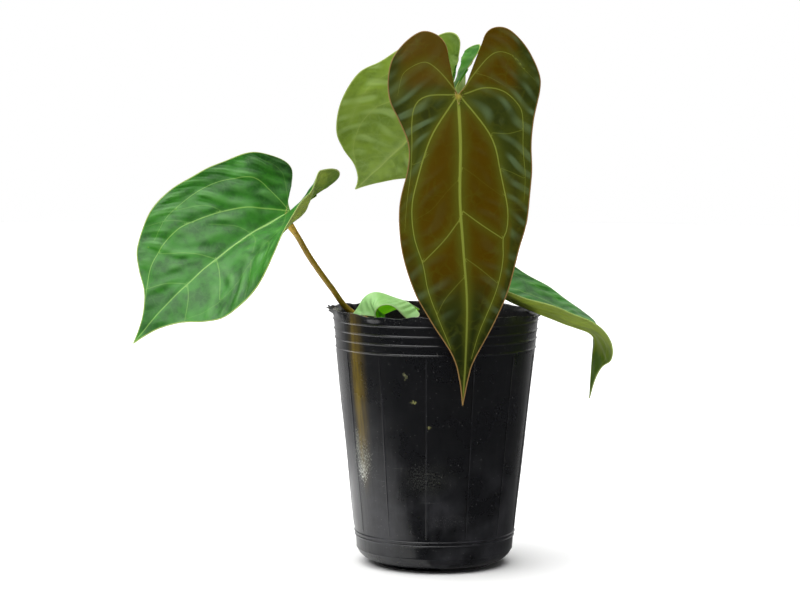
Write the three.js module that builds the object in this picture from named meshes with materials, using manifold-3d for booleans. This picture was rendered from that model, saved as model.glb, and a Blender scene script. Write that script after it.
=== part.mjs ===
// Potted anthurium: a black blow-moulded nursery pot filled with potting mix, and a short root
// crown that carries five petioles, each with one heart-shaped blade.
// Millimetres, +Z up. The origin is the centre of the pot's flat underside; the pot's axis is +Z
// and the newest blade hangs on the -Y side.
import * as THREE from 'three';
import Module from 'manifold-3d';

const wasm = await Module();
wasm.setup();
const { Manifold, Mesh: SolidMesh } = wasm;

// Driving dimensions
const GAP = 0.3;
const RIM_RADIUS = 65;
const RIM_HEIGHT = 159.4;
const POT_WALL = 1.0;
const POT_FLOOR = 1.6;
const FOOT_RADIUS = 36;
const SOIL_LEVEL = 137.5;
const BLADE_THICKNESS = 0.9;
const PETIOLE_RADIUS = 1.75;
const KNEE_RADIUS = 2.3;
const CROWN = [-2, 4];
const RING_HEIGHTS = [136.8, 142.6, 148.1, 154.0];
const BASE_RING_HEIGHTS = [18.0, 20.4];
const RING_RELIEF = 0.35;

const POT_SEGMENTS = 72;
const MARGIN_STEPS = 34;
const ACROSS_STEPS = 5;
const TUBE_SIDES = 10;
const TUBE_STEPS = 20;

const DEG = Math.PI / 180;

function smooth(x) {
  const t = Math.min(1, Math.max(0, x));
  return t * t * (3 - 2 * t);
}

function catmull(points, x) {
  // Value of a Catmull-Rom curve through evenly numbered points; x runs from 0 to points.length - 1.
  const last = points.length - 1;
  const i = Math.min(last - 1, Math.max(0, Math.floor(x)));
  const t = x - i;
  const p1 = points[i];
  const p2 = points[i + 1];
  const p0 = i > 0 ? points[i - 1] : p1.map((v, k) => 2 * v - p2[k]);
  const p3 = i + 2 <= last ? points[i + 2] : p2.map((v, k) => 2 * v - p1[k]);
  return p1.map((v, k) => 0.5 * (2 * v + (p2[k] - p0[k]) * t
    + (2 * p0[k] - 5 * v + 4 * p2[k] - p3[k]) * t * t
    + (3 * v - p0[k] - 3 * p2[k] + p3[k]) * t * t * t));
}

function evenCurve(points, steps) {
  // The same curve cut into steps of equal length.
  const fine = [];
  const perSpan = 24;
  for (let i = 0; i <= (points.length - 1) * perSpan; i += 1) {
    fine.push(catmull(points, i / perSpan));
  }
  const run = [0];
  for (let i = 1; i < fine.length; i += 1) {
    run.push(run[i - 1] + Math.hypot(...fine[i].map((v, k) => v - fine[i - 1][k])));
  }
  const out = [];
  let j = 0;
  for (let i = 0; i <= steps; i += 1) {
    const goal = run[run.length - 1] * i / steps;
    while (j < run.length - 2 && run[j + 1] < goal) {
      j += 1;
    }
    const f = Math.min(1, Math.max(0, (goal - run[j]) / Math.max(1e-9, run[j + 1] - run[j])));
    out.push(fine[j].map((v, k) => v + (fine[j + 1][k] - v) * f));
  }
  return out;
}

function solid(vertices, triangles) {
  // Closed manifold from shared vertices.
  return new Manifold(new SolidMesh({
    numProp: 3,
    vertProperties: new Float32Array(vertices.flat()),
    triVerts: new Uint32Array(triangles.flat()),
  }));
}

function largest(body) {
  // The main piece of a cut body, with edges under 0.02 mm merged.
  const main = (b) => b.decompose().sort((p, q) => q.volume() - p.volume())[0];
  return main(main(body).simplify(0.02));
}

function revolve(profile, segments, shape = (r, z) => [r, z]) {
  // Closed body of revolution; the profile runs from the axis out and back to the axis.
  const vertices = [];
  const rows = profile.map(([r, z], row) => {
    if (r === 0) {
      vertices.push([0, 0, z]);
      return new Array(segments).fill(vertices.length - 1);
    }
    return Array.from({ length: segments }, (_, k) => {
      const angle = 2 * Math.PI * k / segments;
      const [rr, zz] = shape(r, z, angle, row);
      vertices.push([rr * Math.cos(angle), rr * Math.sin(angle), zz]);
      return vertices.length - 1;
    });
  });
  const triangles = [];
  for (let i = 0; i + 1 < rows.length; i += 1) {
    for (let k = 0; k < segments; k += 1) {
      const n = (k + 1) % segments;
      const [a, b, c, d] = [rows[i][k], rows[i][n], rows[i + 1][n], rows[i + 1][k]];
      if (a !== b) {
        triangles.push([a, b, c]);
      }
      if (c !== d) {
        triangles.push([a, c, d]);
      }
    }
  }
  return solid(vertices, triangles);
}

function tube(points, radius, grow = 0, steps = TUBE_STEPS, sides = TUBE_SIDES) {
  // Round stem along a curve; radius(t) with t from 0 at the base to 1 at the end.
  const path = evenCurve(points, steps).map((p) => new THREE.Vector3(...p));
  const tangents = path.map((p, i) => path[Math.min(steps, i + 1)].clone()
    .sub(path[Math.max(0, i - 1)]).normalize());
  path[0].addScaledVector(tangents[0], -grow);
  path[steps].addScaledVector(tangents[steps], grow);
  const across = new THREE.Vector3(0, 1, 0).cross(tangents[0]).normalize();
  const vertices = [];
  path.forEach((p, i) => {
    across.addScaledVector(tangents[i], -across.dot(tangents[i])).normalize();
    const up = tangents[i].clone().cross(across);
    const r = radius(i / steps) + grow;
    for (let k = 0; k < sides; k += 1) {
      const a = 2 * Math.PI * k / sides;
      const q = p.clone().addScaledVector(across, r * Math.cos(a)).addScaledVector(up, r * Math.sin(a));
      vertices.push(q.toArray());
    }
  });
  vertices.push(path[0].toArray(), path[steps].toArray());
  const [first, last] = [vertices.length - 2, vertices.length - 1];
  const triangles = [];
  for (let k = 0; k < sides; k += 1) {
    const n = (k + 1) % sides;
    for (let i = 0; i < steps; i += 1) {
      const [a, b] = [i * sides + k, i * sides + n];
      triangles.push([a, b, b + sides], [a, b + sides, a + sides]);
    }
    triangles.push([first, n, k], [last, steps * sides + k, steps * sides + n]);
  }
  return solid(vertices, triangles);
}

// A blade is drawn flat first: w is the distance from the midrib and v the distance from the
// point where the petiole joins, towards the tip. Each outline runs from the tip to the sinus.
const HEART = [
  [0, 130], [3, 122], [8, 113], [17, 103], [30, 95], [41, 86], [50, 69], [53.6, 51], [50.5, 36],
  [49.2, 20], [44, -2], [36, -15.5], [27, -19.5], [17, -12.7], [7.5, -3], [0, 0],
];

const NEW_LEFT = [
  [0, 188], [3, 172], [8.2, 157.5], [21.4, 138], [31.7, 119], [37.4, 93.5], [37, 69], [32, 46],
  [31.7, 30], [37, 14], [41.5, 3], [43.2, -10], [41, -24], [33.5, -35], [23, -42], [14, -40],
  [7.8, -33], [5.2, -21], [3.2, -7], [0, 0],
];

const NEW_RIGHT = [
  [0, 188], [2.2, 172], [5, 161], [15, 141], [25, 119], [33.5, 94.5], [40.3, 75], [43.6, 50],
  [43.3, 30], [45.5, 14], [50.3, -5], [50, -17], [43, -32], [33, -43], [25, -45.3], [18, -41.5],
  [13.6, -31], [10.5, -21], [5, -7], [0, 0],
];

// Angles in degrees, lengths as parts of the reach from petiole to tip. heading: 0 is +X, 90 is +Y.
// dive: how far the midrib points down at the petiole. roll: turn about the midrib. droop: added
// dive from the petiole to the tip. bend: one sharper bend [degrees, start, span]. rise: how far
// the lobes tip back up. fold and curl: how the two halves stand up from the midrib and curve on,
// in degrees and degrees per 100 mm, given as [left half, right half] seen from above with the tip
// pointing away from the petiole. tuck: added curl beside the petiole. sway: sideways drift of the
// midrib. ruffle: [wave heights, number of waves, phase]. seat: depth of the petiole's end below
// the middle of the blade.
const BLADES = {
  front: {
    at: [11.9, -46, 293.7], heading: 270, dive: 72, roll: 0, droop: [16, 0.8], rise: 20,
    outlines: [NEW_LEFT, NEW_RIGHT], fold: [-6, -4], curl: [-25, -20],
    sway: [0, 1.5, 1.2, 3.3, 5.6, 5.1, 3.4], ruffle: [[0.5, 0.4], 7, 0.1], seat: 1.2,
  },
  left: {
    at: [-90.6, -12, 220.6], heading: 227.4, dive: 15.8, roll: -31.5, droop: [46.6, 1], rise: 60,
    length: 1.05, fold: [17.2, 17.2], foldTip: [-16.5, -21], foldBase: [8.5, 44],
    curl: [0, 44], tuck: [0, 150], baseSpan: 0.7, ruffle: [[0.9, 0.7], 4, 0.2], seat: 1.2,
  },
  back: {
    at: [11.3, 33.4, 295.3], heading: 133.6, dive: 36.3, roll: 31.8, droop: [-5, 1], rise: 52.6,
    width: 0.98, length: 0.89, fold: [79.8, 65.4], foldTip: [-93.6, -93.6], ruffle: [[0.8, 0.6], 4, 0.3],
  },
  right: {
    at: [19, -8, 179.1], heading: -9.5, dive: 25.8, roll: 14.5, droop: [-10.9, 1], rise: 15,
    bend: [80.5, 0.62, 0.12], width: 0.78, length: 0.98, fold: [23.3, 17], foldTip: [15.7, -38.9],
    ruffle: [[0.6, 0.5], 4, 0.4],
  },
  low: {
    at: [-17, -6, 164.2], heading: 180, dive: -19, roll: 0, droop: [0, 1], rise: -60,
    bend: [78, 0.3, 0.4], width: 0.46, length: 0.385, fold: [-56, -30], curl: [0, -40],
    foldBase: [40, 20], ruffle: [[0, 30], 1.25, 0.41], seat: 1.8,
  },
};

function shapeBlade(spec) {
  // Fills in what a blade leaves out and walks its midrib once.
  const blade = {
    outlines: [HEART, HEART], width: 1, length: 1, bend: [0, 0, 1], sway: [0, 0], seat: 1.05,
    fold: [0, 0], foldTip: [0, 0], foldBase: [0, 0], baseSpan: 0.45, curl: [0, 0], tuck: [0, 0],
    ...spec,
  };
  blade.halves = blade.outlines.map((half) => half.map(
    ([w, v]) => [w * blade.width, v * blade.length],
  ));
  blade.reach = blade.halves[0][0][1];
  const [h, d] = [blade.heading * DEG, blade.dive * DEG];
  blade.along = new THREE.Vector3(Math.cos(h) * Math.cos(d), Math.sin(h) * Math.cos(d), -Math.sin(d));
  blade.normal = new THREE.Vector3(0, 0, 1).addScaledVector(blade.along, -blade.along.z).normalize()
    .applyAxisAngle(blade.along, blade.roll * DEG);
  blade.across = blade.normal.clone().cross(blade.along);
  blade.turn = (t) => (t > 0
    ? blade.droop[0] * t ** blade.droop[1] + blade.bend[0] * smooth((t - blade.bend[1]) / blade.bend[2])
    : blade.rise * t) * DEG;
  const step = blade.reach / 400;
  const start = Math.round(-0.5 * blade.reach / step);
  const end = Math.round(1.05 * blade.reach / step);
  const tangent = (i) => {
    const a = blade.turn(i * step / blade.reach);
    return blade.along.clone().multiplyScalar(Math.cos(a)).addScaledVector(blade.normal, -Math.sin(a));
  };
  const spine = { 0: new THREE.Vector3(...blade.at) };
  for (let i = 1; i <= end; i += 1) {
    spine[i] = spine[i - 1].clone().addScaledVector(tangent(i - 0.5), step);
  }
  for (let i = -1; i >= start; i -= 1) {
    spine[i] = spine[i + 1].clone().addScaledVector(tangent(i + 0.5), -step);
  }
  blade.spineAt = (v) => {
    const x = Math.min(end - 1e-6, Math.max(start, v / step));
    const i = Math.floor(x);
    return spine[i].clone().lerp(spine[i + 1], x - i);
  };
  return blade;
}

function bladePoint(blade, side, w, v) {
  // Point of the blade's middle surface; side is -1 on the left half and 1 on the right.
  const t = v / blade.reach;
  const k = side > 0 ? 1 : 0;
  const a = blade.turn(t);
  const normal = blade.along.clone().multiplyScalar(Math.sin(a))
    .addScaledVector(blade.normal, Math.cos(a));
  const inside = Math.min(1, Math.max(0, t));
  const atBase = 1 - smooth(t / blade.baseSpan);
  const tuck = blade.tuck[k] * (1 - smooth(t / 0.55)) * (1 - smooth((0.12 - t) / 0.12));
  const fold = (blade.fold[k] + blade.foldTip[k] * inside + blade.foldBase[k] * atBase
    - 0.31 * tuck) * DEG;
  const turning = (blade.curl[k] + tuck) * DEG / 100;
  const curl = Math.abs(turning) < 1e-6 ? 1e-6 : turning;
  const out = (Math.sin(fold + curl * w) - Math.sin(fold)) / curl;
  const [amount, waves, phase] = blade.ruffle;
  const up = (Math.cos(fold) - Math.cos(fold + curl * w)) / curl
    + amount[k] * (w / 50) ** 2 * Math.sin(2 * Math.PI * (waves * t + phase)) * (k ? -1 : 1);
  const sway = catmull(blade.sway.map((x) => [x]), inside * (blade.sway.length - 1))[0];
  return blade.spineAt(v).addScaledVector(blade.across, side * out + sway).addScaledVector(normal, up);
}

function bladeSolid(blade, thickness) {
  // Two like-triangulated faces and the cut edge between them.
  const middle = [];
  const known = new Map();
  const faces = [];
  const rim = [];
  const vertex = (side, w, v) => {
    const key = w < 1e-6 ? `0,${v.toFixed(4)}` : `${side},${w.toFixed(4)},${v.toFixed(4)}`;
    if (!known.has(key)) {
      known.set(key, middle.length);
      middle.push(bladePoint(blade, side, w, v));
    }
    return known.get(key);
  };
  const margins = blade.halves.map((outline) => evenCurve(outline, MARGIN_STEPS));
  const hub = 0.035 * blade.reach;
  const turnAt = margins[0].findIndex(([, v]) => v < 0.12 * blade.reach);
  margins.forEach((margin, half) => {
    const side = half ? 1 : -1;
    const rows = margin.map(([w, v], i) => {
      const from = hub + (blade.reach - hub) * Math.max(0, 1 - i / turnAt);
      return Array.from({ length: ACROSS_STEPS + 1 }, (_, j) => {
        const f = (j / ACROSS_STEPS) ** 0.85;
        return vertex(side, Math.max(0, w * f), from + (v - from) * f);
      });
    });
    for (let i = 0; i < MARGIN_STEPS; i += 1) {
      for (let j = 0; j < ACROSS_STEPS; j += 1) {
        const [a, b, c, d] = [rows[i][j], rows[i][j + 1], rows[i + 1][j + 1], rows[i + 1][j]];
        const pair = side > 0 ? [[a, b, c], [a, c, d]] : [[a, c, b], [a, d, c]];
        faces.push(...pair.filter((f) => new Set(f).size === 3));
      }
      const edge = [rows[i][ACROSS_STEPS], rows[i + 1][ACROSS_STEPS]];
      rim.push(side > 0 ? edge.reverse() : edge);
    }
  });
  const normals = middle.map(() => new THREE.Vector3());
  faces.forEach(([a, b, c]) => {
    const n = middle[b].clone().sub(middle[a]).cross(middle[c].clone().sub(middle[a]));
    [a, b, c].forEach((i) => normals[i].add(n));
  });
  normals.forEach((n) => n.normalize());
  const face = (d) => middle.map((p, i) => p.clone().addScaledVector(normals[i], d).toArray());
  const n = middle.length;
  const triangles = [];
  faces.forEach(([a, b, c]) => {
    triangles.push([a, b, c], [a + n, c + n, b + n]);
  });
  rim.forEach(([a, b]) => {
    triangles.push([a, b, b + n], [a, b + n, a + n]);
  });
  return solid([...face(thickness / 2), ...face(-thickness / 2)], triangles);
}

// Petioles run from their socket in the crown to the point where the blade joins.
const PETIOLES = {
  front: [[0, -1, 143], [3, -4, 165], [7, -15, 215], [10.5, -26, 265], [11.7, -36, 287]],
  left: [[-7, 8, 143], [-30, 17, 146.5], [-53.6, 19, 156.3], [-66.2, 12, 172.4], [-78.5, 2, 190.7],
    [-86.2, -4, 204.5]],
  back: [[-1.5, 9.5, 143], [-0.8, 8.2, 168], [0.6, 8.6, 195], [4, 14, 235], [6.5, 20.5, 268]],
  right: [[4, 4, 143], [8, 1, 153], [13.5, -3.5, 164]],
  low: [[-7.5, 0.5, 143], [-11, -2, 150], [-14.8, -5, 157]],
};

// Thick roots that leave the crown just above the mix and dive into it: [angle, reach].
const ROOTS = [[20, 27], [95, 24], [165, 29], [235, 25], [300, 28]];

function kneeEnd(blade) {
  // The petiole meets the blade square on, just below the sinus.
  const foot = bladePoint(blade, 1, 0, 2.5);
  return [4.5, blade.seat].map((d) => foot.clone().addScaledVector(blade.normal, -d).toArray());
}

function stemRadius(t) {
  // A little stouter at the socket, with a swollen knee under the blade.
  const knee = (KNEE_RADIUS - PETIOLE_RADIUS) * smooth((t - 0.86) / 0.07);
  return PETIOLE_RADIUS + 0.5 * Math.exp(-9 * t) + knee;
}

function outerRadius(z) {
  // Radius of the pot's outer face above its foot.
  const steps = [[10.4, 49.2], [17, 49.8], [20.4, 50.3], [136.8, 62.6], [154, 64.1], [156.4, 64.4],
    [158.2, 64.8], [RIM_HEIGHT, RIM_RADIUS]];
  const i = Math.max(0, steps.findIndex(([top], k) => k > 0 && z <= top) - 1);
  const [[z0, r0], [z1, r1]] = [steps[i], steps[i + 1]];
  return r0 + (r1 - r0) * (z - z0) / (z1 - z0);
}

function crimp(r, z, angle) {
  // The rolled lip is slightly wavy, squeezed where it stands highest and pressed down opposite.
  const turned = (centre) => ((angle - centre + 3 * Math.PI) % (2 * Math.PI)) - Math.PI;
  const near = (centre, span) => Math.exp(-((turned(centre) / span) ** 2));
  const w = smooth((z - 155) / 3.5);
  const wave = w * (1 + 1.4 * near(2.95, 0.35));
  return [
    r + wave * (0.35 * Math.sin(11 * angle + 0.7) + 0.25 * Math.sin(23 * angle + 2)),
    z + wave * (0.3 * Math.sin(7 * angle + 1) + 0.25 * Math.sin(17 * angle))
      + w * (1.1 * near(3.1, 0.7) - 1.8 * near(-0.1, 0.5)),
  ];
}

function potBody() {
  // Thin wall with moulded rings under the rim and above the foot.
  const wall = [[10.4, 0], [17, 0]];
  [...BASE_RING_HEIGHTS, ...RING_HEIGHTS].forEach((z) => {
    wall.push([z - 0.8, 0], [z, RING_RELIEF], [z + 0.8, 0]);
  });
  wall.push([156.4, 0], [158.2, 0], [RIM_HEIGHT, 0]);
  wall.sort((a, b) => a[0] - b[0]);
  const foot = [[FOOT_RADIUS, 0], [FOOT_RADIUS + 0.4, 2.6], [42.4, 3], [44.6, 4], [47.4, 6.6], [48.7, 9.2]];
  const outer = [...foot, ...wall.map(([z, bump]) => [outerRadius(z) + bump, z])];
  const inner = [...foot.slice(1).map(([r, z]) => [r - POT_WALL, z + POT_FLOOR - 0.3]),
    ...[17, 75, 136.8, 154, 156.4, 158.2, RIM_HEIGHT].map((z) => [outerRadius(z) - POT_WALL, z])];
  return revolve(
    [[0, 0], ...outer, ...inner.reverse(), [FOOT_RADIUS - 1, POT_FLOOR], [0, POT_FLOOR]],
    POT_SEGMENTS,
    crimp,
  );
}

function crownBody(grow) {
  // The short rootstock and its upper roots; grow makes the hole it leaves in the mix.
  const low = [[0, 112 - grow], [5, 113 - grow]];
  const sides = [[8.5, 119], [9.6, 131], [9.2, 141]];
  const high = [[7.6, 147.5 + grow], [4, 151 + grow], [0, 152 + grow]];
  const profile = [...low, ...sides, ...high].map(([r, z]) => [r > 0 ? r + grow : 0, z]);
  const stem = revolve(profile, 20).translate([CROWN[0], CROWN[1], 0]);
  const roots = ROOTS.map(([angle, reach]) => {
    const at = (d, z) => [
      CROWN[0] + d * Math.cos(angle * DEG), CROWN[1] + d * Math.sin(angle * DEG), z,
    ];
    return tube(
      [at(4, 139), at(reach * 0.45, 141.5), at(reach * 0.8, 137), at(reach, 124 - grow)],
      (t) => 1.9 - 0.5 * t,
      grow,
      8,
      8,
    );
  });
  return roots.reduce((body, root) => body.add(root), stem);
}

function potWallInside(z) {
  return outerRadius(z) - POT_WALL - GAP;
}

function soilBody() {
  // Potting mix with a gently lumpy top.
  const floor = POT_FLOOR + GAP;
  const side = [[FOOT_RADIUS - 1.4, floor], [FOOT_RADIUS - 1, 4.5], [41, 4.9], [43.2, 5.9], [45.9, 8.4],
    [47.1, 10.9]];
  const wall = [17, 60, 100, 128, SOIL_LEVEL - 2].map((z) => [potWallInside(z) - 0.1, z]);
  const top = [50, 38, 26, 14].map((r) => [r, SOIL_LEVEL]);
  const relief = (r, z, angle) => (z === SOIL_LEVEL
    ? [r, z + 0.9 * Math.sin(5 * angle + r) + 0.7 * Math.sin(9 * angle - 0.4 * r)]
    : [r, z]);
  return revolve([[0, floor], ...side, ...wall, ...top, [0, SOIL_LEVEL]], 48, relief);
}

function meshOf(name, body, colour, roughness) {
  // Named mesh with a material of its own.
  const data = body.getMesh();
  const geometry = new THREE.BufferGeometry();
  const points = new Float32Array(data.numVert * 3);
  for (let i = 0; i < data.numVert; i += 1) {
    for (let k = 0; k < 3; k += 1) {
      points[3 * i + k] = data.vertProperties[data.numProp * i + k];
    }
  }
  geometry.setAttribute('position', new THREE.BufferAttribute(points, 3));
  geometry.setIndex(new THREE.BufferAttribute(new Uint32Array(data.triVerts), 1));
  geometry.computeVertexNormals();
  const mesh = new THREE.Mesh(geometry, new THREE.MeshStandardMaterial({ color: colour, roughness }));
  mesh.name = name;
  return mesh;
}

const group = new THREE.Group();
group.name = 'potted_anthurium';

group.add(meshOf('pot', potBody(), 0x161616, 0.4));

let crown = crownBody(0);
const soil = soilBody().subtract(crownBody(1.2 * GAP));

Object.entries(BLADES).forEach(([name, spec]) => {
  const blade = shapeBlade(spec);
  const path = [...PETIOLES[name], ...kneeEnd(blade)];
  crown = crown.subtract(tube(path, stemRadius, GAP));
  group.add(meshOf(`petiole_${name}`, tube(path, stemRadius), 0x7f6a1c, 0.5));
  const colour = name === 'front' ? 0x4a4212 : 0x2f7a26;
  group.add(meshOf(`leaf_${name}`, bladeSolid(blade, BLADE_THICKNESS), colour, 0.4));
});

group.add(meshOf('root_crown', largest(crown), 0x6b5a34, 0.8));
group.add(meshOf('potting_mix', largest(soil), 0x33261a, 0.95));

export default group;
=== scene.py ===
"""Potted anthurium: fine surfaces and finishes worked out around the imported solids.

Lengths in the classes are millimetres, as on a maker's drawing; every mesh is written in metres.
"""

import logging
import math
from dataclasses import dataclass, field, replace
from enum import Enum

import bpy
import numpy as np
from mathutils import Matrix, Vector


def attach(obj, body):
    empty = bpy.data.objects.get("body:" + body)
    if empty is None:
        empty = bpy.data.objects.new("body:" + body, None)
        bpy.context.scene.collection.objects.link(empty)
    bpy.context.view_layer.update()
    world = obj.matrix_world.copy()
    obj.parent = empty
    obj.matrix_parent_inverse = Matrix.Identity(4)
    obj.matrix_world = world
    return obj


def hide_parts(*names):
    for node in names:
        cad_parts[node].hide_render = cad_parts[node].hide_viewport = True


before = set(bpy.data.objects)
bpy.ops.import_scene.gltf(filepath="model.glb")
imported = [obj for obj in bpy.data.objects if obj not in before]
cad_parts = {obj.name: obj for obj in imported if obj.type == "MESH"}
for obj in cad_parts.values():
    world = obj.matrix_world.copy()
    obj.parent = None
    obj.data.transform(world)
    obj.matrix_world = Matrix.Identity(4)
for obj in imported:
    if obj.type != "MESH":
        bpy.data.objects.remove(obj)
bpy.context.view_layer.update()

MM = 0.001
FLAT_UNIT = 100.0  # millimetres in one unit of a blade's flat UV map
LOG = logging.getLogger("anthurium")

FULL_TURN = 2 * math.pi
WAVE_COUNT = 5
WAVE_PACES = (0.6, 1.5)

Points = np.ndarray
Pair = tuple[float, float]
Place = tuple[float, float, float]
Tree = bpy.types.NodeTree
Socket = bpy.types.NodeSocket
Factor = Socket | float | tuple
Material = bpy.types.Material
Piece = bpy.types.Object


class Side(Enum):
    """Half of a blade, seen from above with the tip pointing away from the petiole."""

    LEFT = -1
    RIGHT = 1

    @property
    def index(self) -> int:
        """Place of this half in a (left, right) pair."""
        return (self.value + 1) // 2


class Face(Enum):
    """Material slots of a blade's mesh."""

    UPPER = 0
    UNDER = 1


def smooth(x: Points | float) -> Points:
    """Smoothstep: 3x^2 - 2x^3 with x held between 0 and 1."""
    t = np.clip(x, 0.0, 1.0)
    return t * t * (3.0 - 2.0 * t)


def bell(x: Points | float) -> Points:
    """Bell curve exp(-x^2)."""
    return np.exp(-np.square(x))


def curve_through(points: Points, x: Points) -> Points:
    """Catmull-Rom curve through numbered points, with mirrored end tangents.

    Args:
        points: One row (or value) for each whole number.
        x: Positions from 0 to the last row's number.

    Returns:
        The curve's values at x.
    """
    points = np.asarray(points, float)
    pad = np.concatenate([[2 * points[0] - points[1]], points, [2 * points[-1] - points[-2]]])
    i = np.clip(np.floor(x).astype(int), 0, len(points) - 2)
    t = x - i
    if points.ndim > 1:
        t = t[..., None]
    p0, p1, p2, p3 = (pad[i + k] for k in range(4))
    bow = 2 * p0 - 5 * p1 + 4 * p2 - p3
    twist = 3 * p1 - p0 - 3 * p2 + p3
    return 0.5 * (2 * p1 + (p2 - p0) * t + bow * t**2 + twist * t**3)


def even_curve(points: Points, steps: int) -> Points:
    """The same curve cut into steps of equal length.

    Args:
        points: Points that the curve passes through.
        steps: Number of steps.

    Returns:
        steps + 1 points, evenly spaced along the curve.
    """
    fine = curve_through(points, np.linspace(0, len(points) - 1, 24 * (len(points) - 1) + 1))
    run = np.concatenate([[0], np.cumsum(np.linalg.norm(np.diff(fine, axis=0), axis=1))])
    goal = np.linspace(0, run[-1], steps + 1)
    return np.stack([np.interp(goal, run, fine[:, k]) for k in range(fine.shape[1])], axis=-1)


def unit(vectors: Points) -> Points:
    """Vectors brought to length 1 along the last axis."""
    return vectors / np.maximum(np.linalg.norm(vectors, axis=-1, keepdims=True), 1e-12)


def welded(keys: Points, faces: Points) -> tuple[Points, Points, Points]:
    """Joins vertices whose rounded keys are equal and drops the faces that this closes up.

    Args:
        keys: One row for each vertex, compared to four decimals.
        faces: Triangles as rows of three vertex numbers.

    Returns:
        The number of the first vertex of each group, each vertex's group, and the triangles in
        group numbers.
    """
    rounded = np.round(keys, 4) + 0.0
    _, first, group = np.unique(rounded, axis=0, return_index=True, return_inverse=True)
    group = group.ravel()
    joined = group[faces]
    a, b, c = joined.T
    return first, group, joined[(a != b) & (b != c) & (c != a)]


def grid_triangles(rows: int, columns: int, wrap: bool = False) -> Points:
    """Triangles of a grid of vertices numbered row by row.

    Args:
        rows: Number of vertex rows.
        columns: Number of vertices in a row.
        wrap: Whether the last column joins the first.

    Returns:
        Rows of three vertex numbers.
    """
    cells = columns if wrap else columns - 1
    i, j = np.meshgrid(np.arange(rows - 1), np.arange(cells), indexing="ij")
    n = (j + 1) % columns
    a, b, c, d = i * columns + j, i * columns + n, (i + 1) * columns + n, (i + 1) * columns + j
    pair = np.stack([np.stack([a, b, c], -1), np.stack([a, c, d], -1)], axis=2)
    return pair.reshape(-1, 3)


def vertex_normals(points: Points, faces: Points) -> Points:
    """Unit normals: for each vertex the sum of its triangles' cross products.

    Args:
        points: Vertices (n, 3).
        faces: Triangles as rows of three vertex numbers.

    Returns:
        One unit vector for each vertex.
    """
    a, b, c = (points[faces[:, k]] for k in range(3))
    cross = np.cross(b - a, c - a)
    total = np.zeros_like(points)
    for k in range(3):
        np.add.at(total, faces[:, k], cross)
    return unit(total)


def waves(x: Points, y: Points, length: float, seed: int) -> Points:
    """Gentle irregular relief: the mean of a few sine waves of random direction and phase.

    Args:
        x: First coordinate.
        y: Second coordinate, in the same units.
        length: Length of an average wave, in the same units.
        seed: Fixes the directions and phases.

    Returns:
        Values from -1 to 1.
    """
    draw = np.random.default_rng(seed)
    x, y = x / length, y / length
    total = np.zeros(np.broadcast(x, y).shape)
    for _ in range(WAVE_COUNT):
        turn, phase = (draw.uniform(0, FULL_TURN) for _ in range(2))
        pace = draw.uniform(*WAVE_PACES)
        total += np.sin(FULL_TURN * pace * (x * math.cos(turn) + y * math.sin(turn)) + phase)
    return total / WAVE_COUNT


def distance_to_line(at: Points, line: Points) -> tuple[Points, Points]:
    """Signed distance from points to a line of short straight pieces.

    Args:
        at: Points (n, 2).
        line: The line's points (m, 2).

    Returns:
        For each point the shortest distance, negative on the line's left, and how far along the
        line it falls, from 0 to 1.
    """
    start, span = line[:-1], np.diff(line, axis=0)
    rel = at[:, None, :] - start[None]
    part = np.clip((rel * span).sum(-1) / np.maximum((span**2).sum(-1), 1e-9), 0, 1)
    gap = np.linalg.norm(rel - part[..., None] * span, axis=-1)
    rows, nearest = np.arange(len(at)), gap.argmin(axis=1)
    turn = np.cross(span[nearest], rel[rows, nearest])
    side = np.where(turn < 0, 1.0, -1.0)
    return side * gap[rows, nearest], (nearest + part[rows, nearest]) / len(span)


def even_angles(count: int) -> Points:
    """Angles that part a full turn evenly, from 0 on."""
    return np.linspace(0, FULL_TURN, count, endpoint=False)


def on_circle(radius: Points | float, angle: Points) -> tuple[Points, Points]:
    """The x and y of points at a radius and an angle."""
    return radius * np.cos(angle), radius * np.sin(angle)


def placed(name: str, data: bpy.types.ID) -> Piece:
    """Puts new data into the scene.

    Args:
        name: The object's name.
        data: Its mesh, light or camera.

    Returns:
        The new object.
    """
    piece = bpy.data.objects.new(name, data)
    bpy.context.scene.collection.objects.link(piece)
    return piece


@dataclass
class Shell:
    """A mesh as whole arrays, in millimetres."""

    points: Points
    faces: Points
    slots: Points | None = None
    marks: dict[str, Points] = field(default_factory=dict)
    flat: Points | None = None

    def joined(self, other: "Shell") -> "Shell":
        """Both shells as one mesh, with the marks that both hold.

        Args:
            other: The shell to add.

        Returns:
            The new shell.
        """
        both = {key: np.concatenate([self.marks[key], other.marks[key]]) for key in self.marks}
        return Shell(
            np.concatenate([self.points, other.points]),
            np.concatenate([self.faces, other.faces + len(self.points)]),
            marks=both,
        )

    def put(self, name: str, materials: list[Material], slot: str, nodes: list[str]) -> Piece:
        """Writes the arrays into a new mesh object that stands for CAD nodes.

        Args:
            name: Name of the piece.
            materials: Materials in the order of the face slots.
            slot: The record's material slot; not used.
            nodes: CAD nodes that this piece replaces.

        Returns:
            The new object, riding on the root body.
        """
        mesh = bpy.data.meshes.new(name)
        mesh.from_pydata((self.points * MM).tolist(), [], self.faces.tolist())
        for material in materials:
            mesh.materials.append(material)
        mesh.polygons.foreach_set("use_smooth", np.ones(len(self.faces), bool))
        if self.slots is not None:
            mesh.polygons.foreach_set("material_index", self.slots.astype(np.int32))
        for key, values in self.marks.items():
            mark = mesh.attributes.new(key, "FLOAT", "POINT")
            mark.data.foreach_set("value", values.astype(np.float32))
        if self.flat is not None:
            corners = (self.flat[self.faces.ravel()] / FLAT_UNIT).astype(np.float32)
            mesh.uv_layers.new(name="flat").data.foreach_set("uv", corners.ravel())
        mesh.update()
        piece = placed(name, mesh)
        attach(piece, "root")
        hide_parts(*nodes)
        LOG.info("%s: %d triangles, stands for %s", name, len(self.faces), ", ".join(nodes))
        return piece


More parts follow.
